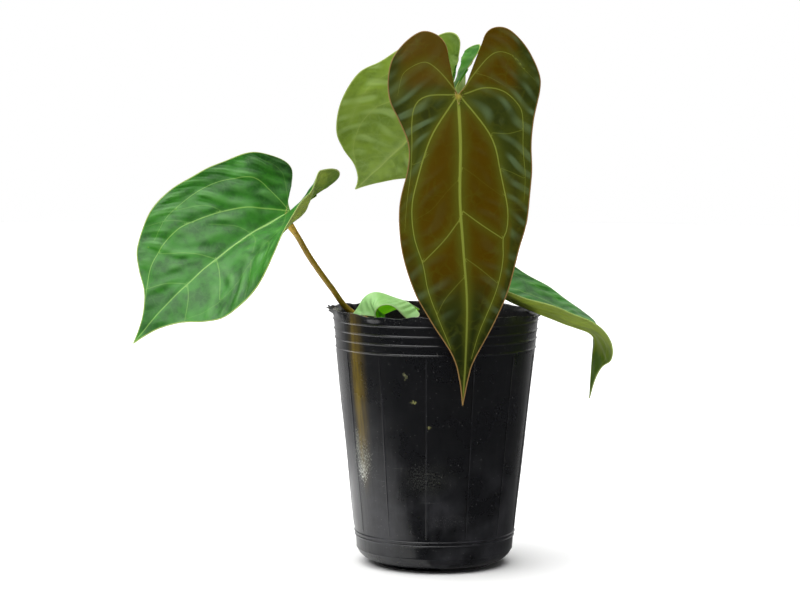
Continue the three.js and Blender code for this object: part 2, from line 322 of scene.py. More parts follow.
def revolved(radius: Points, height: Points, angles: Points, marks: dict[str, Points]) -> Shell:
    """Closed body of revolution; r(row, angle) and z(row, angle) are carried round the Z axis.

    Args:
        radius: Radii (rows, angles); a row of zeros is a pole.
        height: Heights (rows, angles).
        angles: The angle of each column, rising, in radians.
        marks: Values (rows, angles) to keep on the vertices.

    Returns:
        The welded shell, its faces pointing outwards when the rows run up the outside.
    """
    points = np.stack([*on_circle(radius, angles), height], axis=-1).reshape(-1, 3)
    first, _, faces = welded(points, grid_triangles(*radius.shape, wrap=True))
    kept = {key: np.broadcast_to(v, radius.shape).reshape(-1)[first] for key, v in marks.items()}
    return Shell(points[first], faces, marks=kept)


def tube(path: Points, radius: Points, sides: int) -> Shell:
    """Closed round stem: circles of the given radius carried along a path without twisting.

    Args:
        path: Points (n, 3) along the middle.
        radius: Radii (n,) or (n, sides).
        sides: Number of points round.

    Returns:
        The shell, with the mark "along" from 0 at the start to 1 at the end.
    """
    tangents = unit(np.gradient(path, axis=0))
    across = np.empty_like(path)
    last = np.cross([0.0, 1.0, 0.0], tangents[0])
    for i, tangent in enumerate(tangents):
        last = unit(last - tangent * (last @ tangent))
        across[i] = last
    up = np.cross(tangents, across)
    turn = even_angles(sides)
    spread = np.broadcast_to(np.reshape(radius, (len(path), -1)), (len(path), sides))
    cos, sin = np.cos(turn)[None, :, None], np.sin(turn)[None, :, None]
    rings = path[:, None] + spread[..., None] * (cos * across[:, None] + sin * up[:, None])
    ends = [np.repeat(path[k][None, None], sides, axis=1) for k in (0, -1)]
    points = np.concatenate([ends[0], rings, ends[1]]).reshape(-1, 3)
    along = np.concatenate([[0], np.linspace(0, 1, len(path)), [1]]).repeat(sides)
    first, _, faces = welded(points, grid_triangles(len(path) + 2, sides, wrap=True))
    return Shell(points[first], faces, marks={"along": along[first]})


def linear(code: str) -> tuple[float, float, float, float]:
    """A colour turned from sRGB to linear.

    Args:
        code: The colour, such as "#34801f".

    Returns:
        Red, green, blue, and an alpha of 1.
    """
    parts = np.array([int(code[k : k + 2], 16) / 255 for k in (1, 3, 5)])
    values = np.where(parts <= 0.04045, parts / 12.92, ((parts + 0.055) / 1.055) ** 2.4)
    return (*(float(v) for v in values), 1.0)


def add(tree: Tree, kind: str, inputs: dict | None = None, **settings: object) -> bpy.types.Node:
    """Adds a node with its settings, values and links.

    Args:
        tree: Tree that the node goes into.
        kind: The node's type name.
        inputs: Socket name or number to a value, a "#rrggbb" colour, or an output to link from.
        settings: Properties of the node.

    Returns:
        The new node.
    """
    made = tree.nodes.new(kind)
    for key, value in settings.items():
        setattr(made, key, value)
    for key, value in (inputs or {}).items():
        if isinstance(value, Socket):
            tree.links.new(value, made.inputs[key])
        else:
            made.inputs[key].default_value = linear(value) if isinstance(value, str) else value
    return made


def per_mm(size: float, unit_mm: float = 1000.0) -> float:
    """Texture scale for features of a size in millimetres, where one unit is unit_mm long."""
    return unit_mm / size


def product(tree: Tree, *factors: Factor) -> Socket:
    """Works out a mask or another value as the product of its causes, held between 0 and 1.

    Args:
        tree: Tree that the nodes go into.
        factors: Outputs, numbers, or tuples of an output and the two readings between which it
            rises smoothly from 0 to 1; two results after them take the place of 0 and 1.

    Returns:
        The product's output; a single factor keeps its own range.
    """
    total = None
    for factor in factors:
        if isinstance(factor, tuple):
            value, ends, to = (*factor, (0.0, 1.0))[:3]
            low, high = (ends, to) if ends[0] < ends[1] else (ends[::-1], to[::-1])
            names = ("Value", "From Min", "From Max", "To Min", "To Max")
            sockets = dict(zip(names, (value, *low, *high)))
            smoothed = add(tree, "ShaderNodeMapRange", sockets, interpolation_type="SMOOTHSTEP")
            factor = smoothed.outputs[0]
        if total is None:
            total = factor
        else:
            both = {0: total, 1: factor}
            both = add(tree, "ShaderNodeMath", both, operation="MULTIPLY", use_clamp=True)
            total = both.outputs[0]
    return total


def layered(tree: Tree, ground: str, layers: list[tuple[list[Factor], str, float]]) -> Socket:
    """Colours laid over a ground, each through its mask.

    Args:
        tree: Tree that the nodes go into.
        ground: Colour below all layers.
        layers: The mask's factors, the colour and the share of each layer, from the lowest up.

    Returns:
        The colour's output.
    """
    colour: Socket | str = ground
    for factors, tint, share in layers:
        sockets = {0: product(tree, *factors, share), 6: colour, 7: tint}
        colour = add(tree, "ShaderNodeMix", sockets, data_type="RGBA").outputs[2]
    return colour


def skin(tree: Tree, colour: Socket, height: Socket, relief: Pair, values: dict) -> Socket:
    """A skin with fine relief.

    Args:
        tree: Tree that the nodes go into.
        colour: The skin's colour.
        height: The relief, from 0 to 1.
        relief: Its strength, and its height in millimetres.
        values: Further values of the skin, such as its roughness.

    Returns:
        The shader's output.
    """
    fine = {"Strength": relief[0], "Distance": relief[1] * MM, "Height": height}
    bump = add(tree, "ShaderNodeBump", fine).outputs["Normal"]
    sockets = {"Base Color": colour, "Normal": bump, **values}
    return add(tree, "ShaderNodeBsdfPrincipled", sockets).outputs[0]


@dataclass(frozen=True)
class Finish:
    """What all finishes share: a name, and a node material round the surface that each defines."""

    name: str

    def surface(self, tree: Tree) -> Socket:
        """Adds the nodes of the surface and gives its shader's output."""
        raise NotImplementedError

    def build(self) -> Material:
        """Builds the finish as a node material.

        Returns:
            The new material.
        """
        material = bpy.data.materials.new(self.name)
        material.use_nodes = True
        tree = material.node_tree
        tree.nodes.clear()
        add(tree, "ShaderNodeOutputMaterial", {"Surface": self.surface(tree)})
        return material


@dataclass(frozen=True)
class BladeFinish(Finish):
    """Living anthurium leaf: wax-coated skin over veined flesh, a few tenths of a millimetre thick.

    To the eye that is a satin surface with a fine net of raised paler veins, lit through from
    behind, with a thin pale or reddish line along the edge. Light is also painted into the colour:
    paler painted sheen bands along the rib crests, painted shade on a green blade's lobes and
    hanging end, and painted shade towards the new blade's tip.
    """

    flesh: str
    flesh_dark: str
    # Second colour: the new blade's own bronze; on the green blades, painted shade on the lobes and
    # the hanging end.
    flush_and_shade: str
    vein: str
    halo: str
    edge: str
    hub: str = "#b98a1c"
    edge_share: float = 0.85
    hub_share: float = 0.8
    roughness: float = 0.42
    through: float = 0.18
    net: float = 0.16
    net_mm: float = 5.5
    vein_share: float = 0.85
    halo_share: float = 0.4
    flecks: float = 0.0
    patches_mm: float = 16.0
    gloss: float = 0.5
    gloss_tint: str = "#ffffff"
    # bands and band: a paler colour painted along the rib crests, a painted sheen.
    bands: float = 0.3
    band: str = "#5c9c46"
    # tip: painted shade, darkening a blade towards its end.
    tip: str = "#171e08"
    tip_shade_share: float = 0.0
    fleck: str = "#a9c43c"
    fleck_share: float = 0.6
    fleck_mm: float = 3.2
    cell_mm: float = 0.9
    relief: Pair = (0.45, 0.08)

    def surface(self, tree: Tree) -> Socket:
        """Veined flesh under wax, from the blade's marks and its flat UV map.

        Args:
            tree: Tree that the nodes go into.

        Returns:
            The shader's output.
        """
        flat = add(tree, "ShaderNodeUVMap", uv_map="flat").outputs["UV"]
        mark = {
            key: add(tree, "ShaderNodeAttribute", attribute_name=key).outputs["Fac"]
            for key in ("offset", "near", "strength", "halo", "gap", "hub", "flush_and_shade", "rib", "tip")
        }
        coarse, fine, mesh = (
            {"Vector": flat, "Scale": per_mm(size, FLAT_UNIT)}
            for size in (self.patches_mm, self.cell_mm, self.net_mm)
        )
        broad = add(tree, "ShaderNodeTexNoise", coarse | {"Detail": 5.0, "Roughness": 0.6})
        cells = add(tree, "ShaderNodeTexNoise", fine | {"Detail": 2.0}).outputs[0]
        # The finest veins close up into a net with meshes of a few millimetres, well bent by noise.
        bend = {0: 0.12, 4: flat, 5: broad.outputs["Color"]}
        mesh["Vector"] = add(tree, "ShaderNodeMix", bend, data_type="VECTOR").outputs[1]
        net = add(tree, "ShaderNodeTexVoronoi", mesh, feature="DISTANCE_TO_EDGE")
        worn = product(tree, (broad.outputs[0], (0.38, 0.62)))
        line = product(tree, (net.outputs["Distance"], (0.12, 0.0)), worn)
        # A vein's flanks fall away over its half width; far from every vein there is none.
        size = add(tree, "ShaderNodeMath", {0: mark["offset"]}, operation="ABSOLUTE").outputs[0]
        vein = [(size, (1.3, 0.4)), (mark["near"], (1.5, 0.8)), mark["strength"]]
        uneven = {0: worn, 1: 0.3, 2: mark["flush_and_shade"]}
        flush_and_shade = add(tree, "ShaderNodeMath", uneven, operation="MULTIPLY_ADD").outputs[0]
        layers = [
            ([(broad.outputs[0], (0.38, 0.6))], self.flesh_dark, 1.0),
            # Second colour: bronze on the new blade, painted shade on a green blade's lobes and
            # hanging end.
            ([(flush_and_shade, (0.12, 1.12))], self.flush_and_shade, 1.0),
            # Painted shade: darker towards the tip.
            ([mark["tip"]], self.tip, self.tip_shade_share),
            ([line], self.halo, self.net),
            # Painted sheen: paler bands along the crests of the ribs.
            ([mark["rib"]], self.band, self.bands),
            ([mark["halo"]], self.halo, self.halo_share),
            (vein, self.vein, self.vein_share),
            ([(mark["gap"], (0.62, 0.25))], self.edge, self.edge_share),
            ([mark["hub"]], self.hub, self.hub_share),
        ]
        if self.flecks:
            spots = {"Vector": flat, "Scale": per_mm(self.fleck_mm, FLAT_UNIT)}
            specks = add(tree, "ShaderNodeTexVoronoi", spots)
            dot = (specks.outputs["Distance"], (0.24, 0.08))
            chosen = (specks.outputs["Color"], (1 - self.flecks, 1.02 - self.flecks))
            layers.insert(3, ([dot, chosen], self.fleck, self.fleck_share))
        colour = layered(tree, self.flesh, layers)
        rough = (cells, (0.2, 0.8), (self.roughness - 0.06, self.roughness + 0.08))
        # The net stands about 0.05 mm proud and the cells pebble the skin by a few hundredths.
        raised = add(tree, "ShaderNodeMath", {0: line, 1: 0.6, 2: cells}, operation="MULTIPLY_ADD")
        wax = {
            "Roughness": product(tree, rough),
            "IOR": 1.45,
            "Specular IOR Level": self.gloss,
            "Specular Tint": self.gloss_tint,
        }
        outer = skin(tree, colour, raised.outputs[0], self.relief, wax)
        lit = add(tree, "ShaderNodeBsdfTranslucent", {"Color": colour}).outputs[0]
        return add(tree, "ShaderNodeMixShader", {0: self.through, 1: outer, 2: lit}).outputs[0]


@dataclass(frozen=True)
class StemFinish(Finish):
    """Petiole skin: smooth, firm and waxy, olive brown, turning golden at the swollen knee."""

    name: str = "petiole_skin"
    body: str = "#937818"
    shade: str = "#786214"
    knee: str = "#bb9a34"
    foot: str = "#7f7a26"
    streak_mm: float = 0.9
    relief: Pair = (0.35, 0.1)

    def surface(self, tree: Tree) -> Socket:
        """Lengthwise streaks, and the knee's and foot's change of colour.

        Args:
            tree: Tree that the nodes go into.

        Returns:
            The shader's output.
        """
        place = add(tree, "ShaderNodeTexCoord").outputs["Object"]
        along = add(tree, "ShaderNodeAttribute", attribute_name="along").outputs["Fac"]
        streak = add(tree, "ShaderNodeMapping", {"Vector": place, "Scale": (1.0, 1.0, 0.12)})
        fine = {"Vector": streak.outputs[0], "Scale": per_mm(self.streak_mm), "Detail": 3.0}
        grain = add(tree, "ShaderNodeTexNoise", fine).outputs[0]
        layers = [
            ([grain], self.shade, 0.7),
            ([(along, (0.2, 0.02))], self.foot, 0.8),
            ([(along, (0.8, 0.93))], self.knee, 0.8),
        ]
        flesh = {
            "Roughness": 0.4,
            "IOR": 1.45,
            "Subsurface Weight": 0.08,
            "Subsurface Scale": 0.002,
        }
        return skin(tree, layered(tree, self.body, layers), grain, self.relief, flesh)


@dataclass(frozen=True)
class Stain:
    """A mark on the pot's wall: a dried mark, and as a run mark a streak of painted reflection.

    at and size are millimetres along the wall from the pot's front (-Y) and above the ground; cover
    is how much of the mark's middle is crusted over, and a run mark is a painted reflection: a
    streak along the flow without grit.
    """

    at: Pair
    size: Pair
    tint: str
    share: float
    cover: float = 0.5
    grain_mm: float = 0.9
    run: bool = False


@dataclass(frozen=True)
class PotFinish(Finish):
    """Recycled black polyethylene, blow-moulded.

    To the eye that is a satin skin with flow lines, scuffs, dust and hard-water marks; light is
    painted on it too: a paler painted reflection towards the foot, painted highlights on the seam
    crests and rings, painted shade beside the seams and two olive-brown streaks of painted
    reflection. lip and low are the heights between which the dust under the lip and the painted
    reflection near the foot set in.
    """

    name: str = "moulded_polyethylene"
    body: str = "#0b0c10"
    worn: str = "#131317"
    dust: str = "#8d8d8a"
    # Grey of the painted reflection towards the foot and of the painted highlights on the seams and
    # rings.
    painted_reflection: str = "#54545a"
    shade: str = "#020203"
    around_mm: float = 56.0
    patch_mm: float = 26.0
    flow_mm: float = 2.4
    scuff_mm: float = 1.6
    speck_mm: float = 3.4
    grit_mm: float = 1.3
    lip: Pair = (154.5, 158.5)
    low: Pair = (92.0, 30.0)
    relief: Pair = (0.4, 0.25)
    stains: tuple[Stain, ...] = (
        # Two olive-brown run streaks on the left of the wall: painted reflections.
        Stain((-51.0, 118.0), (9.5, 80.0), "#62500f", 0.75, run=True),
        Stain((-52.5, 112.0), (5.0, 70.0), "#76620f", 0.7, run=True),
        Stain((-53.0, 70.0), (22.0, 30.0), "#a9ad9e", 0.5, 0.54, 0.8),
        Stain((-54.0, 62.0), (13.0, 20.0), "#d8dbd0", 0.8, 0.53, 0.7),
        Stain((-57.0, 80.0), (6.0, 26.0), "#9a9c8a", 0.6, 0.56, 0.8),
        Stain((-96.0, 157.5), (30.0, 5.0), "#cfcbbd", 0.7, 0.62, 0.9),
        Stain((-6.0, 60.0), (46.0, 30.0), "#5f6156", 0.3, 0.5, 0.5),
        Stain((10.0, 34.0), (60.0, 14.0), "#6a6a6c", 0.35, 0.42, 0.5),
        Stain((-18.0, 124.0), (3.6, 4.8), "#85865a", 0.6, 0.66, 1.1),
        Stain((-13.4, 108.0), (4.4, 2.4), "#8c8d4c", 0.7, 0.7, 1.0),
        Stain((-4.4, 92.6), (4.2, 2.2), "#7c7a44", 0.7, 0.7, 1.0),
    )

    def crust(self, tree: Tree, wall: Socket, flow: Socket, stain: Stain) -> list[Factor]:
        """Mask of one mark: a dried mark's grit that thins out from its middle, or a run mark's
        painted reflection along the flow.

        Args:
            tree: Tree that the nodes go into.
            wall: The wall unrolled, in metres.
            flow: Noise drawn out down the wall.
            stain: The mark.

        Returns:
            The mask's factors.
        """
        scale = (1 / (stain.size[0] * MM), 1 / (stain.size[1] * MM), 1.0)
        start = (-stain.at[0] / stain.size[0], -stain.at[1] / stain.size[1], 0.0)
        local = add(tree, "ShaderNodeMapping", {"Vector": wall, "Location": start, "Scale": scale})
        reach = add(tree, "ShaderNodeVectorMath", {0: local.outputs[0]}, operation="LENGTH")
        reach = reach.outputs["Value"]
        # A run mark is a painted reflection, streaked along the flow.
        if stain.run:
            return [(reach, (1.0, 0.2)), (flow, (0.25, 0.7), (0.35, 1.0))]
        tall = add(tree, "ShaderNodeMapping", {"Vector": wall, "Scale": (1.0, 0.45, 1.0)})
        tall = tall.outputs[0]
        rough = {"Vector": tall, "Scale": per_mm(stain.grain_mm), "Detail": 6.0, "Roughness": 0.75}
        grain = add(tree, "ShaderNodeTexNoise", rough)
        fade = product(tree, (reach, (1.0, 0.1), (-0.3, 0.0)))
        thinning = {0: fade, 1: grain.outputs[0]}
        total = add(tree, "ShaderNodeMath", thinning, operation="ADD").outputs[0]
        edge = 0.72 - 0.4 * stain.cover
        return [(total, (edge - 0.05, edge + 0.09)), (reach, (1.0, 0.45))]

    def surface(self, tree: Tree) -> Socket:
        """Flow lines, rubbed patches, dust specks and dried marks.

        Args:
            tree: Tree that the nodes go into.

        Returns:
            The shader's output.
        """
        place = add(tree, "ShaderNodeTexCoord").outputs["Object"]
        mark = {
            key: add(tree, "ShaderNodeAttribute", attribute_name=key).outputs["Fac"]
            for key in ("seam", "seam_shade", "ring", "inside")
        }
        # Flow lines of the melt run down the wall, and scuffs from stacking run round it.
        noise = {}
        for key, stretch, size, detail, roughness in (
            ("wear", (1.0, 1.0, 1.0), self.patch_mm, 6.0, 0.6),
            ("flow", (1.0, 1.0, 0.06), self.flow_mm, 4.0, 0.5),
            ("scuff", (0.08, 0.08, 1.6), self.scuff_mm, 5.0, 0.7),
            ("grit", (1.0, 1.0, 1.0), self.grit_mm, 5.0, 0.8),
        ):
            drawn = add(tree, "ShaderNodeMapping", {"Vector": place, "Scale": stretch}).outputs[0]
            sockets = {"Vector": drawn, "Scale": per_mm(size)}
            sockets |= {"Detail": detail, "Roughness": roughness}
            noise[key] = add(tree, "ShaderNodeTexNoise", sockets).outputs[0]
        xyz = add(tree, "ShaderNodeSeparateXYZ", {0: place})
        height = xyz.outputs["Z"]
        lip, low = ((height, (a * MM, b * MM)) for a, b in (self.lip, self.low))
        patch = product(tree, (noise["wear"], (0.42, 0.72)))
        lines = product(tree, (noise["scuff"], (0.6, 0.78)))
        spots = {"Vector": place, "Scale": per_mm(self.speck_mm), "Randomness": 1.0}
        specks = add(tree, "ShaderNodeTexVoronoi", spots)
        # The wall unrolled: distance along it from the front, and height.
        front = add(tree, "ShaderNodeMath", {0: xyz.outputs["Y"], 1: -1.0}, operation="MULTIPLY")
        turned = {0: xyz.outputs["X"], 1: front.outputs[0]}
        angle = add(tree, "ShaderNodeMath", turned, operation="ARCTAN2").outputs[0]
        turned = {0: angle, 1: self.around_mm * MM}
        along = add(tree, "ShaderNodeMath", turned, operation="MULTIPLY")
        wall = add(tree, "ShaderNodeCombineXYZ", {"X": along.outputs[0], "Y": height}).outputs[0]
        layers = [
            ([patch], self.worn, 0.35),
            # Painted reflection: paler towards the foot.
            ([low, patch], self.painted_reflection, 0.24),
            ([lines, patch], self.dust, 0.3),
            ([(specks.outputs["Distance"], (0.12, 0.05))], self.dust, 0.22),
            # Painted shade: a near-black line beside each seam.
            ([mark["seam_shade"]], self.shade, 0.9),
            # Painted highlight along each seam's crest.
            ([mark["seam"], (noise["flow"], (0.3, 0.6))], self.painted_reflection, 0.2),
            # Painted highlight along the rings.
            ([mark["ring"], (noise["scuff"], (0.3, 0.6))], self.painted_reflection, 0.08),
            ([lip, (noise["grit"], (0.55, 0.68))], self.dust, 0.3),
            ([mark["inside"], (noise["grit"], (0.52, 0.7))], self.dust, 0.22),
        ]
        for stain in self.stains:
            layers.append((self.crust(tree, wall, noise["flow"], stain), stain.tint, stain.share))
        relief = {0: lines, 1: 0.12, 2: noise["flow"]}
        relief = add(tree, "ShaderNodeMath", relief, operation="MULTIPLY_ADD").outputs[0]
        rough = product(tree, (noise["wear"], (0.3, 0.7), (0.25, 0.34)))
        satin = {"Roughness": rough, "IOR": 1.5}
        return skin(tree, layered(tree, self.body, layers), relief, self.relief, satin)


@dataclass(frozen=True)
class CrumbFinish(Finish):
    """Composted bark, coir and roots: dull, rough and broken in colour from chip to chip."""

    dark: str
    mid: str
    light: str
    grain_mm: float = 1.4
    roughness: float = 0.92
    depth_mm: float = 0.4

    def surface(self, tree: Tree) -> Socket:
        """Tone that changes with the mark "tone" and with fibres in the grain.

        Args:
            tree: Tree that the nodes go into.

        Returns:
            The shader's output.
        """
        place = add(tree, "ShaderNodeTexCoord").outputs["Object"]
        tone = add(tree, "ShaderNodeAttribute", attribute_name="tone").outputs["Fac"]
        rough = {"Vector": place, "Scale": per_mm(self.grain_mm), "Detail": 6.0, "Roughness": 0.7}
        grain = add(tree, "ShaderNodeTexNoise", rough).outputs[0]
        light = {"Value": tone, "From Min": 0.5, "From Max": 1.0}
        dark = {"Value": grain, "From Min": 0.35, "From Max": 0.62, "To Min": 1.0, "To Max": 0.0}
        colour: Socket | str = self.mid
        for share, tint in ((light, self.light), (dark, self.dark)):
            mask = add(tree, "ShaderNodeMapRange", share).outputs[0]
            both = {0: mask, 6: colour, 7: tint}
            colour = add(tree, "ShaderNodeMix", both, data_type="RGBA").outputs[2]
        return skin(tree, colour, grain, (0.8, self.depth_mm), {"Roughness": self.roughness})


@dataclass(frozen=True)
class PaperFinish(Finish):
    """Uncoated white card paper: bright and evenly matt, with no sheen to the eye."""

    tint: str = "#f6f6f6"

    def surface(self, tree: Tree) -> Socket:
        """Plain matt surface."""
        return add(tree, "ShaderNodeBsdfDiffuse", {"Color": self.tint}).outputs[0]


# Flat outlines from the tip to the sinus: distance from the midrib, distance from the petiole.
HEART = (
    (0, 130), (3, 122), (8, 113), (17, 103), (30, 95), (41, 86), (50, 69), (53.6, 51), (50.5, 36),
    (49.2, 20), (44, -2), (36, -15.5), (27, -19.5), (17, -12.7), (7.5, -3), (0, 0),
)
NEW_LEFT = (
    (0, 188), (3, 172), (8.2, 157.5), (21.4, 138), (31.7, 119), (37.4, 93.5), (37, 69), (32, 46),
    (31.7, 30), (37, 14), (41.5, 3), (43.2, -10), (41, -24), (33.5, -35), (23, -42), (14, -40),
    (7.8, -33), (5.2, -21), (3.2, -7), (0, 0),
)
NEW_RIGHT = (
    (0, 188), (2.2, 172), (5, 161), (15, 141), (25, 119), (33.5, 94.5), (40.3, 75), (43.6, 50),
    (43.3, 30), (45.5, 14), (50.3, -5), (50, -17), (43, -32), (33, -43), (25, -45.3), (18, -41.5),
    (13.6, -31), (10.5, -21), (5, -7), (0, 0),
)


@dataclass(frozen=True)
class Vein:
    """One vein: its line on the flat blade and its half width at both ends, in millimetres."""

    line: tuple[Pair, ...]
    start: float = 0.75
    end: float = 0.4
    strength: float = 1.0


@dataclass(frozen=True)
class Venation:
    """The veins of both halves of a blade, on top of the midrib, and the relief between them."""

    left: tuple[Vein, ...]
    right: tuple[Vein, ...]
    rib: float = 0.6
    rib_mm: float = 14.0
    ripple: float = 0.16
    ripple_mm: float = 3.6
    lumps: float = 1.25
    slope: float = 0.62
    halo_mm: float = 2.6
    midrib: float = 0.8


HEART_VEINS = (
    Vein(
        ((1.5, 1.2), (7.7, 11.4), (15.4, 23.7), (21.6, 36.3), (26.3, 48.4), (30, 57.8), (30.5, 68),
         (29.7, 76), (25, 90), (17, 101), (8, 112)),
        0.56, 0.14, 0.8,
    ),
    Vein(
        ((2.6, 0.4), (15.6, 3.2), (24.7, 5.5), (31.8, 10.7), (37.4, 22.3), (40.6, 35), (42.5, 50),
         (41, 63), (36, 77)),
        0.45, 0.08, 0.65,
    ),
    Vein(((2.6, -0.2), (13, -6), (24, -11), (33, -9), (40, 0), (43, 12)), 0.35, 0.08, 0.2),
)
HEART_LATERALS = (
    Vein(((0.5, 61), (12, 68), (27.2, 80.7)), 0.45, 0.3, 0.3),
    Vein(((0.5, 33), (9, 37), (20, 48)), 0.4, 0.25, 0.22),
    Vein(((0.5, 84), (9, 91), (19, 104)), 0.4, 0.25, 0.3),
    Vein(((22, 37), (32, 43), (42, 57)), 0.4, 0.25, 0.2),
    Vein(((28, 54), (37, 62), (46, 74)), 0.4, 0.25, 0.2),
)
FRONT_LEFT_VEINS = (
    Vein(
        ((0.7, 0.6), (18.4, 27.5), (27.2, 58), (29.6, 73.2), (28.9, 88.5), (25.1, 103),
         (23.2, 118.7), (18.1, 133.8), (9, 154)),
        0.56, 0.15, 0.85,
    ),
    Vein(
        ((1.9, -0.1), (17.1, -0.1), (25.3, 4), (28.9, 14.4), (29.6, 33.2), (30.4, 51.8),
         (34.6, 82.3)),
        0.52, 0.06, 0.65,
    ),
    Vein(
        ((1.9, -3.3), (11, -15.1), (18.4, -21.4), (24.5, -21.1), (32.6, -16.6), (35.1, -11.7),
         (36.9, -2.1)),
        0.48, 0.06, 0.5,
    ),
    Vein(((0.3, 76.1), (11, 89), (24.4, 101.8)), 0.42, 0.36, 0.6),
    Vein(((0.5, 111), (6, 116.5), (13.2, 124.7), (18.1, 133.8)), 0.34, 0.25, 0.28),
    Vein(((19.7, 36.7), (24, 40.5), (28.8, 42.5)), 0.34, 0.3, 0.22),
    Vein(((0.4, 52), (8, 60), (17, 70), (27, 76)), 0.3, 0.2, 0.1),
)
FRONT_RIGHT_VEINS = (
    Vein(
        ((0.9, 0.2), (18.1, 24.4), (24.1, 45.8), (28.4, 67.1), (27.5, 81), (24.5, 87.8),
         (23.5, 100.5), (18.5, 117.4), (8, 142.6), (3.4, 160)),
        0.56, 0.12, 0.85,
    ),
    Vein(
        ((4.2, -0.8), (16.4, -5.1), (28.7, -3.2), (37.7, 6.4), (38.8, 17.2), (38.2, 32.8),
         (39.7, 50.1), (39, 63.6)),
        0.52, 0.08, 0.65,
    ),
    Vein(
        ((3, -3.3), (10.3, -14.4), (19.6, -25.9), (27, -29), (35.1, -25.8), (41.3, -18.4)),
        0.5, 0.08, 0.6,
    ),
    Vein(((33, -27.5), (38.2, -21), (46.9, -12.2)), 0.3, 0.12, 0.22),
    Vein(((10.3, -14.4), (19.5, -11.6), (28.7, -7)), 0.34, 0.12, 0.22),
    Vein(((0.3, 70.7), (12, 79.5), (24.5, 87.8)), 0.42, 0.36, 0.65),
    Vein(((0.6, 99.6), (9, 106), (18.7, 114.4)), 0.34, 0.25, 0.32),
    Vein(((20, 23.1), (29, 23.2), (38.6, 20.3)), 0.36, 0.28, 0.3),
    Vein(((24.1, 44.6), (31, 47), (38.4, 50.1)), 0.32, 0.26, 0.25),
    Vein(((0.4, 44), (9, 50), (17, 56), (26, 62)), 0.3, 0.2, 0.1),
)


def fainter(veins: tuple[Vein, ...], share: float) -> tuple[Vein, ...]:
    """The same veins, showing less."""
    return tuple(replace(one, strength=one.strength * share) for one in veins)


FRONT = Venation(
    FRONT_LEFT_VEINS, FRONT_RIGHT_VEINS,
    rib=0.2, rib_mm=13.0, ripple=0.12, lumps=0.7, halo_mm=4.2, midrib=1.1,
)
GROWN = Venation(
    HEART_VEINS + HEART_LATERALS, fainter(HEART_VEINS, 0.25) + fainter(HEART_LATERALS, 1.2)
)
QUIET_HALF = fainter(HEART_VEINS + HEART_LATERALS, 0.6)
QUIET = Venation(QUIET_HALF, QUIET_HALF, lumps=1.2)

PATH_STEPS = 400  # steps along a midrib from the petiole to the tip
BEHIND_STEPS = 200  # steps behind the petiole, for the lobes
AHEAD_STEPS = 20  # steps past the tip
FAN_POWER = 1.3  # draws the rows of a blade's grid together at the margin
HUB_SHARE = 0.035  # how far along the midrib the veins spread out
LOBE_SHARE = 0.12  # how far along it the lobes' rows begin
SMALLEST_VEINS = 0.62  # a small blade's veins are no finer than this share
VEIN_STEPS = 36
MIDRIB_TAPER = 0.56  # share of its half width that the midrib loses towards the tip
OVERLAP_MM = 3  # a half's veins also count this far over the midrib
FAR_OFFSET, FAR_GAP_MM = 8, 9.0  # marks hold still beyond these
UNEVEN_MM, BROKEN_MM = 42, 24  # lengths over which ribs drift and fade
LUMP_MM, FINE_LUMP_MM = 30, 13
TUCK_END, TUCK_FULL = 0.55, 0.12  # a half's tuck ends at the first and is full at the second
TUCK_FOLD = 0.31  # share of the tuck that the fold gives back
UPPER_RIDGE, UNDER_RIDGE = 0.12, 0.75  # how far a vein stands out on each face
MARGIN_BULGE = 0.45  # how far the margin is rounded outwards, as a share of the thickness
KNEE_MM, KNEE_SINK_MM = 4.5, 0.2  # the petiole's last point and its end, below the blade


